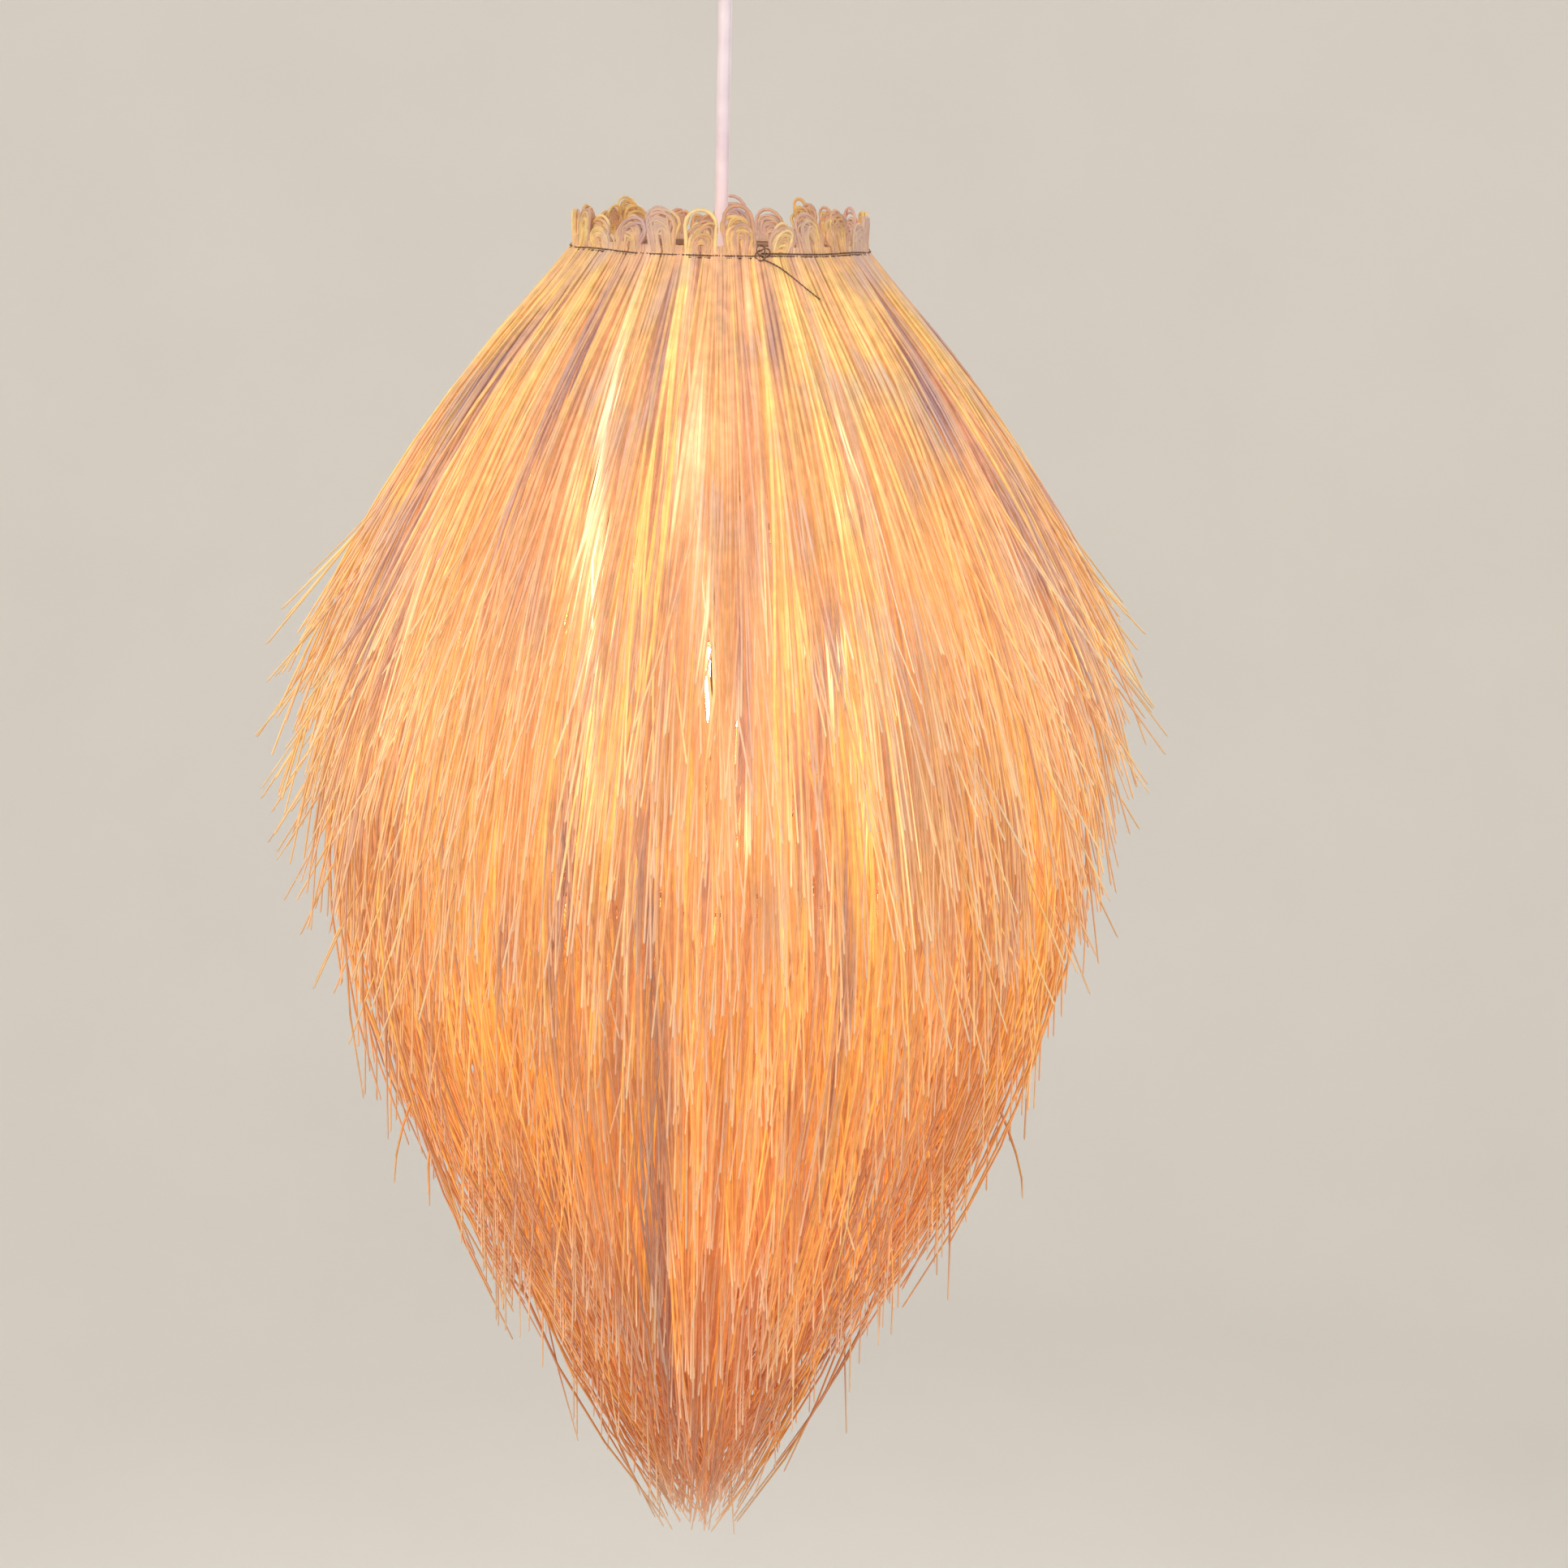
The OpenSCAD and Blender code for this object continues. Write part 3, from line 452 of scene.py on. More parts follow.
# Spread of a lock's stems across its leg, and of the lock's own turn
LOCK_WIDTH = 0.12
LOCK_TURN = math.radians(0.7)
# Heads: the largest number of a leg's stems that bend over, and the length share up to which they do
BENT_STEMS = 20
BENT_SHARE = 0.75
GAP_R = 0.8 * MM
ARCH_R = 1.8 * MM
BEND_R = 8.5 * MM
BEND_LIFT = 6.5 * MM
BEND_START = 0.2
BEND_DIP = 1.5 * MM
LEG_FOOT = 2.5 * MM
LEG_END = 2.5 * MM
ARCH_STEPS = 7
HEAD_TILT = 0.24
STEM_TILT = 0.12
OUT_TILT = 0.12
HEAD_SQUEEZES = (0.86, 1.34)
STEM_SQUEEZES = (0.66, 1.12)
LOOSE_LIFT = 4 * MM
LOOSE_POWER = 6
SLACK_MM = (-1.2, 2.0)
# Stems: range of their tips' drops in millimetres, leans and bows, sideways spreads in degrees
STEM_STEPS = 8
TOP_TIPS = (170, 350)
TOP_TIP_POWER = 1.15
LOCK_END = 18
TOP_SPREAD = 8
TOP_STRAYS = 0.1
TOP_LEAN = math.radians(49)
TOP_BOWS = (0.3, 0.9)
STRAY_BOWS = (1, 8)
TOP_WILD_SHARE = 0.15
TOP_WILD = 5.0
TOP_FAN = 1.3
TOP_FAN_GROWTH = 1.8
TOP_SWAY = 0.8
TOP_THICKS = (0.75, 1.02)
TOP_TONE_SPREAD = 0.04
TOP_LIGHTS = (0.93, 1.07)


GOLDEN_STEP = 0.618034


def scatter(i, start):
    """An even scatter between 0 and 1, by golden-ratio steps."""
    return (i * GOLDEN_STEP + start) % 1.0


def bend(middle, side, share, out_r, bend_z, tilt, squeeze):
    """Places of a stem from the foot of one leg up, over sideways and down the other leg to the tie."""
    foot = GAP_R + (BEND_R - GAP_R) * share
    arch_r = ARCH_R + (BEND_R - ARCH_R) * share
    half_way = ((foot + arch_r) / 2, (TIE_Z + bend_z) / 2)
    points = [(-foot, TIE_Z - LEG_FOOT), (-half_way[0], half_way[1]), (-arch_r * squeeze, bend_z)]
    for i in range(1, ARCH_STEPS):
        a = math.pi * (1 - i / ARCH_STEPS)
        points.append((arch_r * squeeze * math.cos(a), bend_z + arch_r * math.sin(a)))
    points += [(arch_r * squeeze, bend_z), half_way, (foot, TIE_Z)]
    out = Vector((math.cos(middle), math.sin(middle), 0))
    across = Vector((-out.y, out.x, 0)) * side
    places = []
    for y, z in points:
        lean = tilt * (z - TIE_Z)
        places.append(out * (out_r + OUT_TILT * lean) + across * (y + side * lean) + UP * z)
    return places


def top_tuft(straws, rng, tuft):
    """A tuft of the top tier: two legs of a few locks each, joined by the stems that bend over."""
    middle = (tuft + 0.5) * TOP_PITCH
    bend_z = TOP_Z - BEND_R - (BEND_LIFT * scatter(tuft, BEND_START) + rng.uniform(0, BEND_DIP))
    tilt = rng.gauss(0, HEAD_TILT)
    squeeze = rng.uniform(*HEAD_SQUEEZES)
    for side in (-1, 1):
        bent = 0
        for lock in range(LEG_LOCKS):
            lock_share = (lock + 0.5) / LEG_LOCKS
            lock_az = side * TOP_PITCH / 2 * lock_share + rng.gauss(0, LOCK_TURN)
            lock_tone, lock_light = lock_look(rng, TOP_BRIGHT, TOP_SHADED)
            lock_out = rng.gauss(0, LOCK_OUT)
            lock_end = rng.gauss(0, LOCK_END)
            for _ in range(LOCK_STEMS):
                share = clamp(lock_share + rng.gauss(0, LOCK_WIDTH), (0, 1))
                length_share = rng.random()
                out_r = LEG_R - LEG_SKIN - (LEG_R - LEG_IN_R - LEG_SPARE) * length_share
                start_az = side * (GAP_R + (BEND_R - GAP_R) * share) / out_r
                if length_share < BENT_SHARE and bent < BENT_STEMS:
                    bent += 1
                    loose = LOOSE_LIFT * rng.random() ** LOOSE_POWER + rng.gauss(*SLACK_MM) * MM
                    places = bend(middle, side, share, out_r, bend_z + loose, tilt + rng.gauss(0, STEM_TILT),
                                  squeeze * rng.uniform(*STEM_SQUEEZES))
                else:
                    places = [polar(middle + start_az, out_r, z) for z in (TIE_Z + LEG_END, TIE_Z)]
                tip_drop = TOP_TIPS[0] + (TOP_TIPS[1] - TOP_TIPS[0]) * length_share ** TOP_TIP_POWER
                tip_z = TOP_Z - (tip_drop + lock_end * length_share) * MM
                root = (out_r, TIE_Z - LEG_FOOT)
                stray = rng.random() < TOP_STRAYS
                tip = (tip_radius(rng, tip_z, lock_out, TOP_SPREAD, stray), tip_z)
                lean = chord_lean(root, tip)
                if stray:
                    lean -= math.radians(rng.uniform(*STRAY_BOWS))
                else:
                    lean += (TOP_LEAN - lean) * rng.uniform(*TOP_BOWS)
                line = bowed(root, lean, tip, STEM_STEPS)
                fan = TOP_WILD if rng.random() < TOP_WILD_SHARE else TOP_FAN + TOP_FAN_GROWTH * length_share
                tip_az = lock_az + math.radians(rng.gauss(0, fan))
                places += stem_places(middle, start_az, tip_az, math.radians(rng.gauss(0, TOP_SWAY)), line)
                straws.stem(places, rng.uniform(*TOP_THICKS), lock_tone + rng.gauss(0, TOP_TONE_SPREAD),
                            lock_light * rng.uniform(*TOP_LIGHTS), rng.uniform(-1, 1))


# Middle and lower tiers: tufts on the two hidden rings, whose stems hang down to the shade's outline
INNER_GROUPS = 6
TUFTS_AN_INNER_GROUP = 4
INNER_PITCH = 2 * math.pi / (INNER_GROUPS * TUFTS_AN_INNER_GROUP)
INNER_LEG = 13.5 * MM
INNER_STEPS = 8
INNER_BRIGHT = 0.2
INNER_SHADED = 0.26
INNER_OVERLAP = 1.1
INNER_TURN = math.radians(1.2)
INNER_TIP_POWER = 1.25
INNER_ROOTS_MM = (1.8, 5.2)
ROOT_GATHER = 0.45
ROOT_TURN = math.radians(0.6)
INNER_WILD_SHARE = 0.22
INNER_WILD = 8.0
INNER_FAN = 2.6
INNER_SWAY = 2.0
INNER_THICKS = (0.72, 1.0)
INNER_TONE_SPREAD = 0.07
INNER_LIGHTS = (0.9, 1.1)
# Some stems end plumb: mean and spread of their way past the outline, its ends, their leans at the ring
HANGER_SHARE = 0.34
HANGER_OUT = (-9, 11)
HANGER_ENDS = (-26, 28)
HANGER_LEANS = (25, 45)
HANGER_R = 168 * MM
# The lowest tips point every way
TAIL_FLICK = 6 * MM
FLICK_DROPS = (560, 640)
# Tips of the middle tier, and of the lower tier, many of which hang far inside the outline
MIDDLE_OUT = -4
MIDDLE_SPREAD = 8
MIDDLE_STRAYS = 0.02
MIDDLE_TIP_R = 176 * MM
LOWER_OUT = -5
LOWER_SPREAD = 7
LOWER_STRAYS = 0.03
LOWER_TIP_R = 116 * MM
TAIL_TIP_R = 15 * MM
INSIDE_SHARE = 0.6
INSIDE_LEAST = 0.02


def inner_tuft(straws, rng, tuft, ring, locks, lock_stems, tips, leans, tip_of):
    """A tuft of an inner tier, with the range of its tips' drops and of its leans at the ring."""
    middle = (tuft + 0.5) * INNER_PITCH
    for lock in range(locks):
        lock_az = ((lock + 0.5) / locks - 0.5) * INNER_PITCH * INNER_OVERLAP + rng.gauss(0, INNER_TURN)
        lock_tone, lock_light = lock_look(rng, INNER_BRIGHT, INNER_SHADED)
        lock_out = rng.gauss(0, LOCK_OUT)
        for _ in range(lock_stems):
            root = (ring[0] + rng.uniform(*INNER_ROOTS_MM) * MM, ring[1] - INNER_LEG)
            tip_drop = tips[0] + (tips[1] - tips[0]) * rng.random() ** INNER_TIP_POWER
            tip_z = TOP_Z - tip_drop * MM
            tip = (tip_of(rng, tip_z, lock_out), tip_z)
            line = bowed(root, math.radians(rng.uniform(*leans)), tip, INNER_STEPS)
            if rng.random() < HANGER_SHARE:
                beyond = clamp(rng.gauss(*HANGER_OUT), HANGER_ENDS)
                tip = (min(shade_radius(tip_z) + beyond * MM, HANGER_R), tip_z)
                line = hanging(root, math.radians(rng.uniform(*HANGER_LEANS)), tip, INNER_STEPS)
            root_az = lock_az * ROOT_GATHER + rng.gauss(0, ROOT_TURN)
            fan = INNER_WILD if rng.random() < INNER_WILD_SHARE else INNER_FAN
            tip_az = lock_az + math.radians(rng.gauss(0, fan))
            flick = Vector((rng.gauss(0, 1), rng.gauss(0, 1), 0)) * TAIL_FLICK
            flick *= float(smooth_step(*FLICK_DROPS, tip_drop))
            sway = math.radians(rng.gauss(0, INNER_SWAY))
            places = [polar(middle + root_az, *root)]
            places += stem_places(middle, root_az, tip_az, sway, line, flick)
            straws.stem(places, rng.uniform(*INNER_THICKS), lock_tone + rng.gauss(0, INNER_TONE_SPREAD),
                        lock_light * rng.uniform(*INNER_LIGHTS), rng.uniform(-1, 1))


def middle_tip(rng, z, lock_out):
    """Radius of a tip of the middle tier."""
    stray = rng.random() < MIDDLE_STRAYS
    return min(tip_radius(rng, z, lock_out + MIDDLE_OUT, MIDDLE_SPREAD, stray), MIDDLE_TIP_R)


def lower_tip(rng, z, lock_out):
    """Radius of a tip of the lower tier, which fills the tail and doesn't end in a point."""
    stray = rng.random() < LOWER_STRAYS
    edge = max(tip_radius(rng, z, lock_out + LOWER_OUT, LOWER_SPREAD, stray), TAIL_TIP_R)
    inward = math.sqrt(rng.uniform(INSIDE_LEAST, 1.0)) if rng.random() < INSIDE_SHARE else 1.0
    return min(edge, LOWER_TIP_R) * inward


def middle_tuft(straws, rng, tuft):
    """A tuft of the middle tier."""
    inner_tuft(straws, rng, tuft, (MIDDLE_R, MIDDLE_Z), locks=6, lock_stems=18,
               tips=(320, 545), leans=(25, 48), tip_of=middle_tip)


def lower_tuft(straws, rng, tuft):
    """A tuft of the lower tier."""
    inner_tuft(straws, rng, tuft, (LOWER_R, LOWER_Z), locks=4, lock_stems=21,
               tips=(450, 657), leans=(4, 24), tip_of=lower_tip)


# Materials
def linear(hex_colour):
    """An sRGB hex colour as linear red, green, blue and alpha."""
    shares = [int(hex_colour[i:i + 2], 16) / 255 for i in (1, 3, 5)]
    return [c / 12.92 if c <= 0.04045 else ((c + 0.055) / 1.055) ** 2.4 for c in shares] + [1.0]


def add_node(tree, kind, settings=None, inputs=None, links=None):
    """Adds a node with its settings, fixed inputs and linked inputs. Stops are those of a colour ramp."""
    node = tree.nodes.new(kind)
    for name, value in (settings or {}).items():
        if name == "stops":
            elements = node.color_ramp.elements
            elements.remove(elements[1])
            elements[0].position, elements[0].color = value[0][0], linear(value[0][1])
            for position, colour in value[1:]:
                elements.new(position).color = linear(colour)
        else:
            setattr(node, name, value)
    for name, value in (inputs or {}).items():
        node.inputs[name].default_value = value
    for name, source in (links or {}).items():
        tree.links.new(source, node.inputs[name])
    return node


def new_material(name):
    """An empty node material and its tree."""
    material = bpy.data.materials.new(name)
    material.use_nodes = True
    material.node_tree.nodes.clear()
    return material, material.node_tree


# Sockets of a mix node for colours, and its two kinds
FACTOR, FIRST, SECOND, MIXED = 0, 6, 7, 2
BLEND = {"data_type": "RGBA"}
MULTIPLY = {"data_type": "RGBA", "blend_type": "MULTIPLY"}

# Straw from its dullest tone, mauve and also used as painted shade, to its palest, the tone of its patches of
# painted shade, and sizes of flecks and patches
STRAW_TONES = [(0.0, "#bda4a2"), (0.25, "#d0a88e"), (0.5, "#e0b284"), (0.75, "#ebc986"), (1.0, "#f4e0a8")]
PAINTED_SHADE_STRAW = "#d6c0c8"
FLECK_MM = 5
PATCH_MM = 34
PATCH_STRETCH = (1, 1, 0.3)
# Light through the straw, where a stem faces out of the shade and on its sides
GLOW = 0.8
SIDE_GLOW = 0.4
# How far out a stem faces where it glows least and where it glows most, at the tail and at the neck
DIM_FACINGS = (0.0, -0.7)
LIT_FACINGS = (0.85, 0.2)
# Light that the tips lose, and share of the light that falls on a stem and comes out behind
TIP_DIM = 0.4
THROUGH_SHARE = 0.3
# Tints from the tail up to the neck: of the straw's colour, darker and warmer towards the tail, and of the
# painted glow and glints that come through it
BODY_TINTS = [(0.0, "#eccfb4"), (0.3, "#f2d8bc"), (0.6, "#faeedd"), (1.0, "#ffffff")]
GLOW_TINTS = [(0.0, "#ffa264"), (0.2, "#ffb06c"), (0.45, "#ffc470"), (0.7, "#ffdfa2"), (1.0, "#ffe8be")]
GLEAM_TINTS = [(0.0, "#ff9a4a"), (0.35, "#ffb45e"), (0.6, "#ffe29a"), (0.8, "#fff2bc"), (1.0, "#fff4c8")]
# Light through a stem by its tone, from the pink of the duller ones to the yellow of the paler ones
TONE_TINTS = [(0.28, "#ffdef0"), (0.78, "#fffacc")]
# Where the straw hangs in shade, the light through it is cooler
DUSK = "#bccfff"


def dry_straw(name, tip, tip_cover):
    """Dry grass stems, cut and combed: matt, thin enough to let the bulb's light through.

    Each has its own tone, with fine darker flecks and a paler cut tip.
    The side that faces out of the shade glows most.
    """
    material, tree = new_material(name)
    coords = add_node(tree, "ShaderNodeTexCoord")
    place, normal = coords.outputs["Object"], coords.outputs["Normal"]
    tone, run, glow, gleam, shade = [
        add_node(tree, "ShaderNodeAttribute", {"attribute_name": label}).outputs["Fac"]
        for label in STEM_VALUES
    ]
    height = add_node(tree, "ShaderNodeSeparateXYZ", None, None, {0: place}).outputs["Z"]
    rise = add_node(tree, "ShaderNodeMapRange", None, {"From Min": TAIL_Z, "From Max": TOP_Z},
                    {"Value": height}).outputs["Result"]

    # Colour of the stem: its tone, flecks, patches of painted shade, the tint of its height and its tip
    body = add_node(tree, "ShaderNodeValToRGB", {"stops": STRAW_TONES}, links={"Fac": tone}).outputs["Color"]
    fleck = add_node(tree, "ShaderNodeTexNoise", None, {"Scale": 1 / (FLECK_MM * MM), "Detail": 2.0},
                     {"Vector": place}).outputs["Fac"]
    fleck_share = add_node(tree, "ShaderNodeMapRange", None,
                           {"From Min": 0.35, "From Max": 0.7, "To Min": 0.88, "To Max": 1.05},
                           {"Value": fleck}).outputs["Result"]
    colour = add_node(tree, "ShaderNodeMix", MULTIPLY, {FACTOR: 1.0},
                      {FIRST: body, SECOND: fleck_share}).outputs[MIXED]
    long_place = add_node(tree, "ShaderNodeVectorMath", {"operation": "MULTIPLY"}, {1: PATCH_STRETCH},
                          {0: place}).outputs[0]
    patch = add_node(tree, "ShaderNodeTexNoise", None,
                     {"Scale": 1 / (PATCH_MM * MM), "Detail": 2.0, "Roughness": 0.6},
                     {"Vector": long_place}).outputs["Fac"]
    # Patches of painted shade: where the noise is low the straw turns mauve grey
    painted_shade_share = add_node(tree, "ShaderNodeMapRange", None,
                          {"From Min": 0.5, "From Max": 0.36, "To Min": 0.0, "To Max": 0.6},
                          {"Value": patch}).outputs["Result"]
    colour = add_node(tree, "ShaderNodeMix", BLEND, {SECOND: linear(PAINTED_SHADE_STRAW)},
                      {FACTOR: painted_shade_share, FIRST: colour}).outputs[MIXED]
    warmth = add_node(tree, "ShaderNodeValToRGB", {"stops": BODY_TINTS}, links={"Fac": rise}).outputs["Color"]
    colour = add_node(tree, "ShaderNodeMix", MULTIPLY, {FACTOR: 1.0},
                      {FIRST: colour, SECOND: warmth}).outputs[MIXED]
    near_tip = add_node(tree, "ShaderNodeMapRange", None,
                        {"From Min": 0.88, "From Max": 0.99, "To Max": tip_cover},
                        {"Value": run}).outputs["Result"]
    colour = add_node(tree, "ShaderNodeMix", BLEND, {SECOND: linear(tip)},
                      {FACTOR: near_tip, FIRST: colour}).outputs[MIXED]

    # Tint of the light that comes through: by height, tone, glints, shade and flecks
    tint = add_node(tree, "ShaderNodeValToRGB", {"stops": GLOW_TINTS}, links={"Fac": rise}).outputs["Color"]
    own_tint = add_node(tree, "ShaderNodeValToRGB", {"stops": TONE_TINTS},
                        links={"Fac": tone}).outputs["Color"]
    tint = add_node(tree, "ShaderNodeMix", MULTIPLY, {FACTOR: 1.0},
                    {FIRST: tint, SECOND: own_tint}).outputs[MIXED]
    gleam_tint = add_node(tree, "ShaderNodeValToRGB", {"stops": GLEAM_TINTS},
                          links={"Fac": rise}).outputs["Color"]
    tint = add_node(tree, "ShaderNodeMix", BLEND, None,
                    {FACTOR: gleam, FIRST: tint, SECOND: gleam_tint}).outputs[MIXED]
    tint = add_node(tree, "ShaderNodeMix", MULTIPLY, {SECOND: linear(DUSK)},
                    {FACTOR: shade, FIRST: tint}).outputs[MIXED]
    tint = add_node(tree, "ShaderNodeMix", MULTIPLY, {FACTOR: 1.0},
                    {FIRST: tint, SECOND: fleck_share}).outputs[MIXED]

    # Strength of that light: how far the surface faces out, the stem's own share, patches and tips
    level = add_node(tree, "ShaderNodeVectorMath", {"operation": "MULTIPLY"}, {1: (1, 1, 0)},
                     {0: place}).outputs[0]
    outward = add_node(tree, "ShaderNodeVectorMath", {"operation": "NORMALIZE"}, None, {0: level}).outputs[0]
    facing = add_node(tree, "ShaderNodeVectorMath", {"operation": "DOT_PRODUCT"}, None,
                      {0: outward, 1: normal}).outputs["Value"]
    dim_facing = add_node(tree, "ShaderNodeMapRange", None,
                          {"To Min": DIM_FACINGS[0], "To Max": DIM_FACINGS[1]},
                          {"Value": rise}).outputs["Result"]
    lit_facing = add_node(tree, "ShaderNodeMapRange", None,
                          {"To Min": LIT_FACINGS[0], "To Max": LIT_FACINGS[1]},
                          {"Value": rise}).outputs["Result"]
    strength = add_node(tree, "ShaderNodeMapRange", None, {"To Min": SIDE_GLOW, "To Max": GLOW},
                        {"Value": facing, "From Min": dim_facing, "From Max": lit_facing}).outputs["Result"]
    # The same noise paints shade on the glow in those patches, and brightens it between them
    patch_light = add_node(tree, "ShaderNodeMapRange", None,
                           {"From Min": 0.36, "From Max": 0.66, "To Min": 0.74, "To Max": 1.2},
                           {"Value": patch}).outputs["Result"]
    tip_share = add_node(tree, "ShaderNodeMath", {"operation": "MULTIPLY_ADD"}, {1: -TIP_DIM, 2: 1.0},
                         {0: near_tip}).outputs[0]
    for share in (glow, patch_light, tip_share):
        strength = add_node(tree, "ShaderNodeMath", {"operation": "MULTIPLY"}, None,
                            {0: strength, 1: share}).outputs[0]

    # The emission is painted glow, standing in for the bulb's light through the straw; the translucent share
    # below lets real light through
    stem = add_node(tree, "ShaderNodeBsdfPrincipled", None, {"Roughness": 0.55, "Specular IOR Level": 0.3},
                    {"Base Color": colour, "Emission Color": tint, "Emission Strength": strength})
    through = add_node(tree, "ShaderNodeBsdfTranslucent", None, None, {"Color": colour})
    both = add_node(tree, "ShaderNodeMixShader", None, {0: THROUGH_SHARE},
                    {1: stem.outputs[0], 2: through.outputs[0]})
    add_node(tree, "ShaderNodeOutputMaterial", links={"Surface": both.outputs[0]})
    return material


RELIEF = 0.2 * MM


def surface(name, colour, other, roughness, metallic, patch_mm, grit_mm, bump):
    """A hard surface: two close tones in soft patches, roughness that follows them, a fine grit as bump."""
    material, tree = new_material(name)
    place = add_node(tree, "ShaderNodeTexCoord").outputs["Object"]
    patch = add_node(tree, "ShaderNodeTexNoise", None, {"Scale": 1 / (patch_mm * MM), "Detail": 3.0},
                     {"Vector": place}).outputs["Fac"]
    grit = add_node(tree, "ShaderNodeTexNoise", None, {"Scale": 1 / (grit_mm * MM), "Detail": 1.0},
                    {"Vector": place}).outputs["Fac"]
    tint = add_node(tree, "ShaderNodeValToRGB", {"stops": [(0.3, colour), (0.7, other)]},
                    links={"Fac": patch}).outputs["Color"]
    rough = add_node(tree, "ShaderNodeMapRange", None,
                     {"To Min": roughness - 0.06, "To Max": roughness + 0.08},
                     {"Value": patch}).outputs["Result"]
    relief = add_node(tree, "ShaderNodeBump", None, {"Strength": bump, "Distance": RELIEF},
                      {"Height": grit}).outputs["Normal"]
    shader = add_node(tree, "ShaderNodeBsdfPrincipled", None, {"Metallic": metallic},
                      {"Base Color": tint, "Roughness": rough, "Normal": relief})
    add_node(tree, "ShaderNodeOutputMaterial", links={"Surface": shader.outputs[0]})
    return material


CLOUD_MM = 25
BULB_LIGHT = 90.0


def opal_globe():
    """Opal polycarbonate with the light on behind it: warm white, even, a little yellower in patches."""
    material, tree = new_material("opal_polycarbonate_lit")
    place = add_node(tree, "ShaderNodeTexCoord").outputs["Object"]
    cloud = add_node(tree, "ShaderNodeTexNoise", None, {"Scale": 1 / (CLOUD_MM * MM)}, {"Vector": place})
    tint = add_node(tree, "ShaderNodeValToRGB", {"stops": [(0.3, "#fff1d6"), (0.7, "#ffe9c4")]},
                    links={"Fac": cloud.outputs["Fac"]}).outputs["Color"]
    shader = add_node(tree, "ShaderNodeBsdfPrincipled", None,
                      {"Roughness": 0.4, "Emission Strength": BULB_LIGHT},
                      {"Base Color": tint, "Emission Color": tint})
    add_node(tree, "ShaderNodeOutputMaterial", links={"Surface": shader.outputs[0]})
    return material


FINISHES = {
    # Zinc plated steel, pressed: cool grey with faint cloudy patches
    "zinc_steel": surface("zinc_plated_steel", "#b4b7bb", "#a3a7ac", 0.38, 1.0, 9, 0.8, 0.05),
    # Satin enamel on spun steel: warm white with a very fine orange peel
    "cup_white": surface("satin_enamel", "#f0ede7", "#eae6de", 0.36, 0.0, 45, 1.6, 0.05),
    # Moulded nylon: milky white, softly matt
    "gland_nylon": surface("moulded_nylon", "#e9e5dc", "#e2ddd2", 0.5, 0.0, 12, 0.7, 0.08),
    # Moulded polyamide of the block: cream, matt
    "block_plastic": surface("moulded_polyamide", "#f0ecdd", "#e8e2cf", 0.52, 0.0, 8, 0.6, 0.08),
    # Turned brass: yellow, a little tarnished in patches
    "brass": surface("turned_brass", "#d0ab5a", "#b98f43", 0.32, 1.0, 6, 0.5, 0.05),
    # Thin PVC over copper: blue, slightly glossy
    "core_insulation": surface("core_pvc", "#4f78ac", "#466d9f", 0.4, 0.0, 6, 0.5, 0.04),
    # Flexible PVC cord: pale, a little lavender, with handling marks
    "cord_pvc": surface("cord_pvc", "#e6dbe2", "#d9ccd5", 0.45, 0.0, 14, 0.9, 0.1),
    # Moulded urea of the holder: warm white, soft gloss
    "holder_white": surface("moulded_urea", "#ece8df", "#e4dfd4", 0.4, 0.0, 14, 0.7, 0.08),
    # Glazed porcelain: clean white
    "socket_ceramic": surface("glazed_porcelain", "#f2efe8", "#ebe7dd", 0.22, 0.0, 10, 1.2, 0.04),
    # Lacquered steel wire: straw brown, slightly uneven lacquer
    "frame_wire": surface("lacquered_wire", "#86694f", "#745a43", 0.42, 0.0, 7, 0.8, 0.12),
    # Moulded polycarbonate of the bulb's housing: white, matt
    "housing_white": surface("moulded_polycarbonate", "#f1efe9", "#e9e6de", 0.46, 0.0, 12, 0.6, 0.06),
    # Solder mask of the board: white, satin
    "board_white": surface("solder_mask", "#f2f2ee", "#e9e9e3", 0.4, 0.0, 6, 0.5, 0.05),
    # Plated aluminium of the screw cap: bright grey
    "cap_metal": surface("plated_aluminium", "#c9cacb", "#b6b8ba", 0.3, 1.0, 5, 0.5, 0.05),
    # Fused black glass under the contact: glossy
    "insulator_black": surface("fused_glass", "#1d1c20", "#26252a", 0.15, 0.0, 4, 0.5, 0.03),
    # Twisted hemp twine: dark brown plies, matt, with paler fibres
    "twine": surface("twisted_hemp", "#7d5c4a", "#5c4338", 0.8, 0.0, 3, 0.4, 0.5),
    "globe_opal": opal_globe(),
}

SLOT_OF = {part["node"]: part["material_slot"] for part in frame["record"]["subparts"]}
for node_name, node_object in NODES.items():
    finish = FINISHES.get(SLOT_OF[node_name])
    if finish:
        node_object.data.materials.clear()
        node_object.data.materials.append(finish)

for obj in (cord, cord_start):
    obj.data.materials.append(FINISHES["cord_pvc"])

# Straw pieces
straw_top = dry_straw("dry_straw_top", "#f6e6cc", 0.55)
straw_middle = dry_straw("dry_straw_middle", "#f4e0c6", 0.6)
straw_lower = dry_straw("dry_straw_lower", "#f8e4cc", 0.75)
for tier, groups, tufts, tuft_maker, material in (
    ("top", TOP_GROUPS, TUFTS_A_GROUP, top_tuft, straw_top),
    ("middle", INNER_GROUPS, TUFTS_AN_INNER_GROUP, middle_tuft, straw_middle),
    ("lower", INNER_GROUPS, TUFTS_AN_INNER_GROUP, lower_tuft, straw_lower),
):
    for group in range(groups):
        straws = Straws()
        for tuft in range(group * tufts, (group + 1) * tufts):
            tuft_maker(straws, random.Random(f"{tier} {tuft}"), tuft)
        straws.piece(f"{tier}_stems_{group + 1}", f"{tier}_straw_{group + 1}", material)

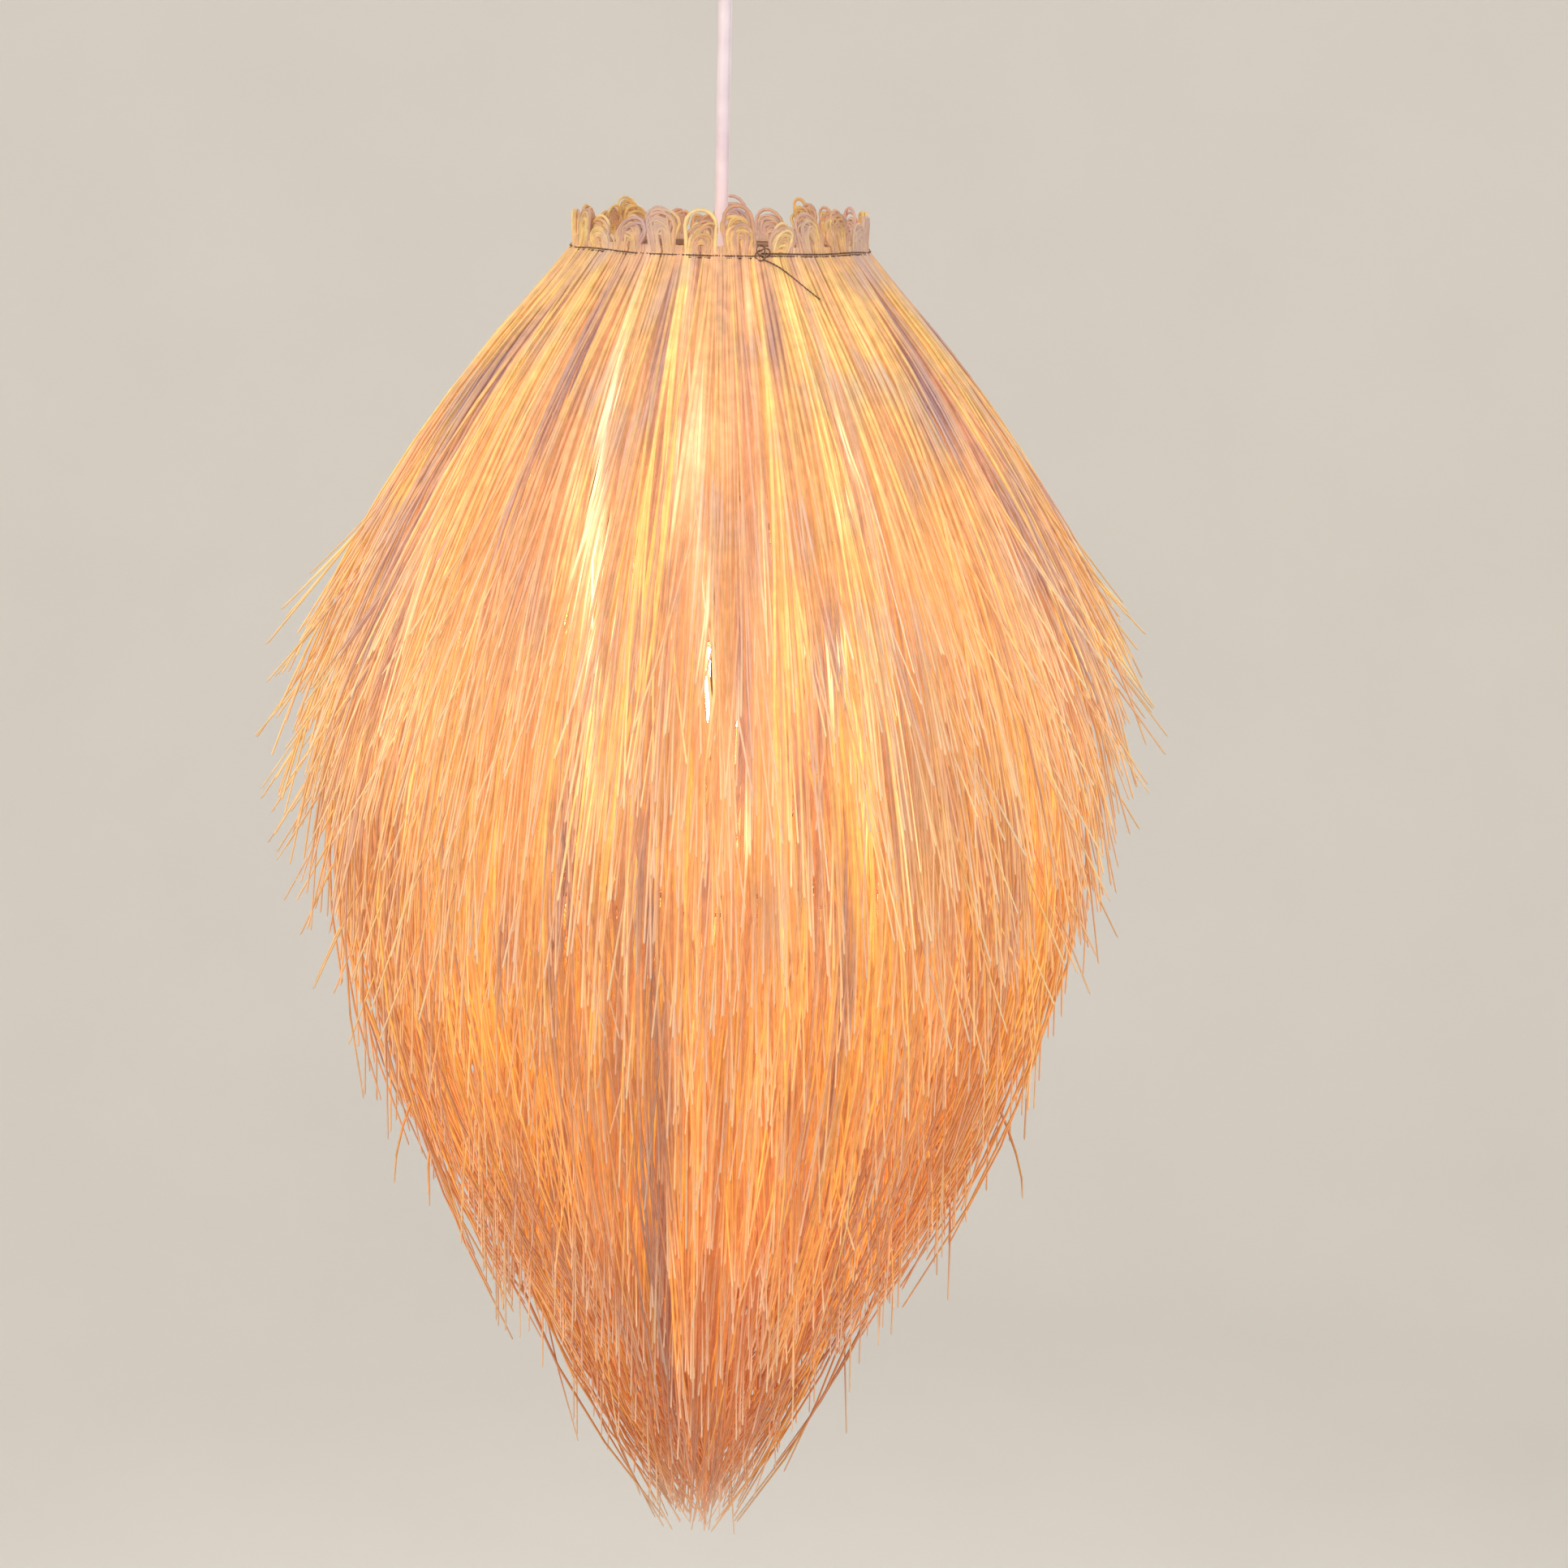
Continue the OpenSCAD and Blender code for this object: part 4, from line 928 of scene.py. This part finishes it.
# Bindings: twine of two plies, wound twice round the legs of a tier
PLY_D = 0.5 * MM
PLY_SHARE = 0.42
TWIST_LEN = 3 * MM
TWINE_OUT = 6.1 * MM
TWINE_TURNS = 2
TWINE_RISE = 1.0 * MM
TWINE_STEPS = 420
TWINE_DIP = 0.35 * MM
TWINE_WAVES = 4
WAVE_COUNTS = (3, 11)
WAVE_SHIFT = 6.3
WAVE_SIZES_MM = (0.1, 0.35)
INNER_TWINE_DROP = 5.5 * MM


def plies(path):
    """Two plies that twist round a path, whose points are (place, outward)."""
    run = 0.0
    both = [[], []]
    for i, (place, out) in enumerate(path):
        if i:
            run += (place - path[i - 1][0]).length
        for k, ply in enumerate(both):
            a = 2 * math.pi * run / TWIST_LEN + k * math.pi
            ply.append((place + (out * math.cos(a) + UP * math.sin(a)) * PLY_D * PLY_SHARE, 1.0))
    return both


def wound(r, z, start, bulges, rng):
    """A path of turns round the legs, drawn in between the tufts and not quite level."""
    waves = [(rng.randint(*WAVE_COUNTS), rng.uniform(0, WAVE_SHIFT), rng.uniform(*WAVE_SIZES_MM) * MM)
             for _ in range(TWINE_WAVES)]
    path = []
    for i in range(TWINE_TURNS * TWINE_STEPS + 1):
        az = start + 2 * math.pi * i / TWINE_STEPS
        dip = TWINE_DIP * math.cos(bulges * az)
        wave = sum(size * math.sin(n * az + shift) for n, shift, size in waves)
        place = polar(az, r - dip, z - TWINE_RISE * i / TWINE_STEPS + wave)
        path.append((place, Vector((math.cos(az), math.sin(az), 0))))
    return path


def binding(name, node, ring_r, z, start, bulges, extra=()):
    """The twine round a tier, with any extra lengths of it."""
    paths = plies(wound(ring_r + TWINE_OUT, z, start, bulges, random.Random(name)))
    for path in extra:
        paths += plies(path)
    obj = line_curve(name, paths, PLY_D)
    obj.data.use_fill_caps = True
    to_mesh(obj)
    merge_poles(obj)
    obj.data.materials.append(FINISHES["twine"])
    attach(obj, "lamp")
    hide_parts(node)


# Knot of the neck's twine, and points of its loose end: turn in degrees, way out and down in millimetres
KNOT_AZ = math.radians(-75)
KNOT_R = 1.15 * MM
KNOT_DEPTH = 0.9 * MM
KNOT_OUT = 1.2 * MM
KNOT_RISE = 0.5 * MM
KNOT_STEPS = 60
TAIL_POINTS = [(0, 0, 0), (5, 2.5, 3), (9, 5.5, 7), (13, 9.5, 12), (16, 13, 16)]
TAIL_OUT = 2.5 * MM
TAIL_DROP = 2 * MM
TAIL_STEPS = 10


def knot_path(centre):
    """A small overhand knot of twine, lying against the tufts."""
    out = Vector((math.cos(KNOT_AZ), math.sin(KNOT_AZ), 0))
    side = Vector((-out.y, out.x, 0))
    path = []
    for i in range(KNOT_STEPS + 1):
        t = 2 * math.pi * i / KNOT_STEPS
        r = (2 + math.cos(3 * t)) * KNOT_R
        place = centre + side * (r * math.cos(2 * t)) + UP * (r * math.sin(2 * t))
        path.append((place + out * (KNOT_DEPTH * math.sin(3 * t)), out))
    return path


def tail_path(r, z):
    """The tie's loose end, which leaves the knot and falls over the straw in one smooth curve."""
    points = [polar(KNOT_AZ + math.radians(turn), r + out * MM, z - down * MM)
              for turn, out, down in TAIL_POINTS]
    last = len(points) - 1
    path = []
    for i in range(last * TAIL_STEPS + 1):
        k = min(i // TAIL_STEPS, last - 1)
        t = i / TAIL_STEPS - k
        a, b, c, d = (points[clamp(j, (0, last))] for j in (k - 1, k, k + 1, k + 2))
        square = 2 * a - 5 * b + 4 * c - d
        cube = 3 * b - a - 3 * c + d
        place = 0.5 * (2 * b + (c - a) * t + square * t * t + cube * t ** 3)
        path.append((place, Vector((place.x, place.y, 0)).normalized()))
    return path


NECK_TWINE_R = NECK_R + TWINE_OUT
binding("neck_twine", "neck_binding", NECK_R, TIE_Z, KNOT_AZ, 2 * TOP_GROUPS * TUFTS_A_GROUP,
        [knot_path(polar(KNOT_AZ, NECK_TWINE_R + KNOT_OUT, TIE_Z + KNOT_RISE)),
         tail_path(NECK_TWINE_R + TAIL_OUT, TIE_Z - TAIL_DROP)])
binding("middle_twine", "middle_binding", MIDDLE_R, MIDDLE_Z - INNER_TWINE_DROP, 0.0,
        INNER_GROUPS * TUFTS_AN_INNER_GROUP)
binding("lower_twine", "lower_binding", LOWER_R, LOWER_Z - INNER_TWINE_DROP, 0.0,
        INNER_GROUPS * TUFTS_AN_INNER_GROUP)

# Stage: a pale floor that sweeps up into a round backdrop, and soft studio light
FLOOR_Z = -2.4
STAGE_R = 4.6
SWEEP_R = 1.3
SWEEP_STEPS = 12
WALL_TOP = 1.9
STAGE_SIDES = 96


def backdrop():
    """The floor and backdrop, spun from one profile."""
    foot_r = STAGE_R - SWEEP_R
    profile = [(0.0, FLOOR_Z), (foot_r, FLOOR_Z)]
    for i in range(1, SWEEP_STEPS + 1):
        a = math.pi / 2 * i / SWEEP_STEPS
        profile.append((foot_r + SWEEP_R * math.sin(a), FLOOR_Z + SWEEP_R * (1 - math.cos(a))))
    profile.append((STAGE_R, WALL_TOP))
    mesh = bpy.data.meshes.new("backdrop")
    mesh.from_pydata([(r, 0, z) for r, z in profile], [(i, i + 1) for i in range(len(profile) - 1)], [])
    obj = bpy.data.objects.new("backdrop", mesh)
    bpy.context.scene.collection.objects.link(obj)
    choose(obj)
    bpy.ops.object.mode_set(mode="EDIT")
    bpy.ops.mesh.select_all(action="SELECT")
    bpy.ops.mesh.spin(steps=STAGE_SIDES, angle=2 * math.pi, center=(0, 0, 0), axis=(0, 0, 1))
    bpy.ops.mesh.select_all(action="SELECT")
    bpy.ops.mesh.remove_doubles(threshold=0.1 * MM)
    bpy.ops.mesh.normals_make_consistent(inside=True)
    bpy.ops.object.mode_set(mode="OBJECT")
    bpy.ops.object.shade_smooth()
    # Painted card: pale warm grey, matt
    obj.data.materials.append(surface("painted_card", "#f1eee9", "#eeebe6", 0.85, 0.0, 400, 4, 0.02))


backdrop()


def soft_light(name, place, target, size, power, colour):
    """A square area light that is turned to a target."""
    data = bpy.data.lights.new(name, "AREA")
    data.size = size
    data.energy = power
    data.color = linear(colour)[:3]
    obj = bpy.data.objects.new(name, data)
    bpy.context.scene.collection.objects.link(obj)
    obj.location = place
    obj.rotation_mode = "QUATERNION"
    obj.rotation_quaternion = (Vector(target) - Vector(place)).to_track_quat("-Z", "Y")


SHADE_MIDDLE = (0, 0, BELLY_Z)
soft_light("key_light", (-1.5, -1.9, 0.7), SHADE_MIDDLE, size=1.4, power=42, colour="#fff7ee")
soft_light("fill_light", (1.9, -1.4, 0.2), SHADE_MIDDLE, size=1.6, power=22, colour="#f2f5ff")
soft_light("back_light", (0.4, 2.1, 0.6), SHADE_MIDDLE, size=1.6, power=22, colour="#fff9f2")

WORLD_LIGHT = 0.76
world = bpy.data.worlds.new("studio")
world.use_nodes = True
world.node_tree.nodes["Background"].inputs["Color"].default_value = linear("#efece8")
world.node_tree.nodes["Background"].inputs["Strength"].default_value = WORLD_LIGHT
bpy.context.scene.world = world
bpy.context.scene.view_settings.view_transform = "Standard"

bpy.context.view_layer.update()
